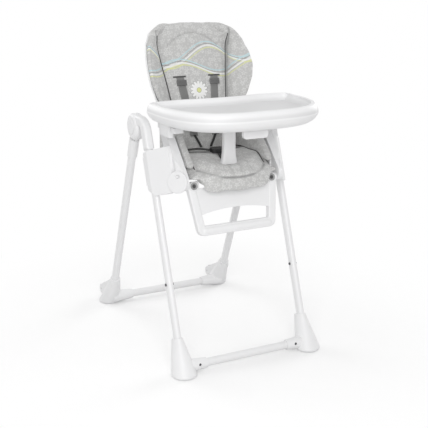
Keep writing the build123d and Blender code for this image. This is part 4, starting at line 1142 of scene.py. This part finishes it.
# %% Slots and sliders
SLOT_HALF = 0.023
SLIDER_UP = 0.250
SLIDER_SIZE = (0.036, 0.0045, 0.020)
SLIDER_BEVEL = 0.0012
SLIDER_RIBS = 4
RIB_SIZE = (0.03024, 0.0024, 0.0024)
RIB_BEVEL = 0.0008
BINDING_WIDTH = 0.0055
BINDING_LIFT = 0.0004
SLOT_SHIFT = 0.001
SLIDER_FEEL = (-0.012, 0.0, 0.012)
RIB_REACH = 0.36


def make_slot(turn):
    """The bound edge of one strap's slot."""
    middle = turn * (strap_x(STRAP_TOP) + SLOT_SHIFT)
    up = STRAP_TOP + SLOT_UP
    path = []
    for shift in np.linspace(-SLOT_HALF, SLOT_HALF, 9):
        x = middle + shift
        path.append(on_back(x, back_surface(x, up) - BINDING_LIFT, up))
    return make_strap("strap_slots", path, BACK_UP, BINDING_WIDTH, dark_edging)


def make_block(name, middle, size, bevel):
    """A rounded block that leans as the back does."""
    bpy.ops.object.select_all(action="DESELECT")
    bpy.ops.mesh.primitive_cube_add(size=1.0)
    block = bpy.context.object
    block.name = name
    across, deep, tall = (read_points(block.data) * np.array(size)).T
    places = np.outer(across, (1, 0, 0)) + np.outer(deep, BACK_REAR) + np.outer(tall, BACK_UP)
    write_points(block, places + middle)
    finish_with(block, "BEVEL", width=bevel, segments=3)
    return block


def make_slider(turn):
    """A slider on a strap: a plate with ribs across it."""
    x = turn * strap_x(SLIDER_UP)
    rest = min(back_surface(x + shift, SLIDER_UP) for shift in SLIDER_FEEL)
    face = rest - 2 * STRAP_THICK
    _, thick, tall = SLIDER_SIZE
    plate = make_block("sliders", on_back(x, face, SLIDER_UP), SLIDER_SIZE, SLIDER_BEVEL)
    ribs = []
    for step in np.linspace(-RIB_REACH, RIB_REACH, SLIDER_RIBS):
        place = on_back(x, face - thick / 2, SLIDER_UP + step * tall)
        ribs.append(make_block("rib", place, RIB_SIZE, RIB_BEVEL))
    slider = joined(plate, *ribs)
    only(slider)
    bpy.ops.object.shade_smooth_by_angle(angle=radians(35))
    return slider


slots = joined(*[make_slot(turn) for turn in (-1, 1)])
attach(slots, "backrest")
sliders = joined(*[make_slider(turn) for turn in (-1, 1)])
wear(sliders, slider_moulding)
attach(sliders, "backrest")
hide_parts("strap_adjusters")
print("sliders:", len(sliders.data.polygons), "faces")

# %% [markdown]
# ## Lap straps, crotch strap and buckle
# The lap straps and the short crotch strap are narrower and black, and lie loosely on the seat round the
# buckle. They are laid in the same way as the shoulder straps, on heights found by casting rays at the
# seat. The buckle keeps its CAD shape and is set on top of the filling, which would hide it otherwise.

# %% Lap straps, crotch strap and buckle
LAP_WIDTH = 0.024
LAP_RISE = 0.0045
LAP_SLACK = 0.006
CROTCH_RISE = 0.004
LAP_START = Vector((0.026, -0.104, 0.0))
LAP_END = Vector((0.114, -0.050, 0.0))
CROTCH_FROM = -0.128
CROTCH_TO = -0.154
BUCKLE_Y = -0.105


def lap_path(turn):
    """From the buckle to the seat's rear corner, a little slack in between."""
    path = []
    for share in np.linspace(0.0, 1.0, 18):
        flat = LAP_START.lerp(LAP_END, share)
        rise = LAP_RISE * (1 - share) + LAP_SLACK * sin(pi * share)
        path.append((turn * flat.x, flat.y, seat_surface(turn * flat.x, flat.y) + STRAP_THICK + rise))
    return path


def lap_across(turn):
    """Direction of a lap strap's width."""
    run = (LAP_END - LAP_START).normalized()
    return (-turn * run.y, run.x, 0.0)


def crotch_path():
    """From the buckle forward into the seat."""
    path = []
    for y in np.linspace(CROTCH_FROM, CROTCH_TO, 6):
        rise = CROTCH_RISE * (y - CROTCH_TO) / (CROTCH_FROM - CROTCH_TO)
        path.append((0.0, y, seat_surface(0.0, y) + STRAP_THICK + rise))
    return path


def make_buckle():
    """A copy of the buckle's solid, lifted onto the seat pad."""
    piece = bpy.data.objects.new("buckle", nodes["harness_buckle"].data.copy())
    scene.collection.objects.link(piece)
    places = read_points(piece.data)
    places[:, 2] += seat_surface(0.0, BUCKLE_Y) - places[:, 2].min()
    write_points(piece, places)
    wear(piece, black_moulding)
    return piece


lap_straps = [make_strap("lap_webbing", lap_path(turn), lap_across(turn), LAP_WIDTH, dark_webbing)
              for turn in (-1, 1)]
crotch_strap = make_strap("crotch_strap", crotch_path(), (1, 0, 0), LAP_WIDTH, dark_webbing)
lap_webbing = joined(*lap_straps, crotch_strap)
buckle = make_buckle()
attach(buckle, "carriage")
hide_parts("harness_buckle")
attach(lap_webbing, "carriage")
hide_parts("lap_straps")
print("lap webbing:", len(lap_webbing.data.polygons), "faces")
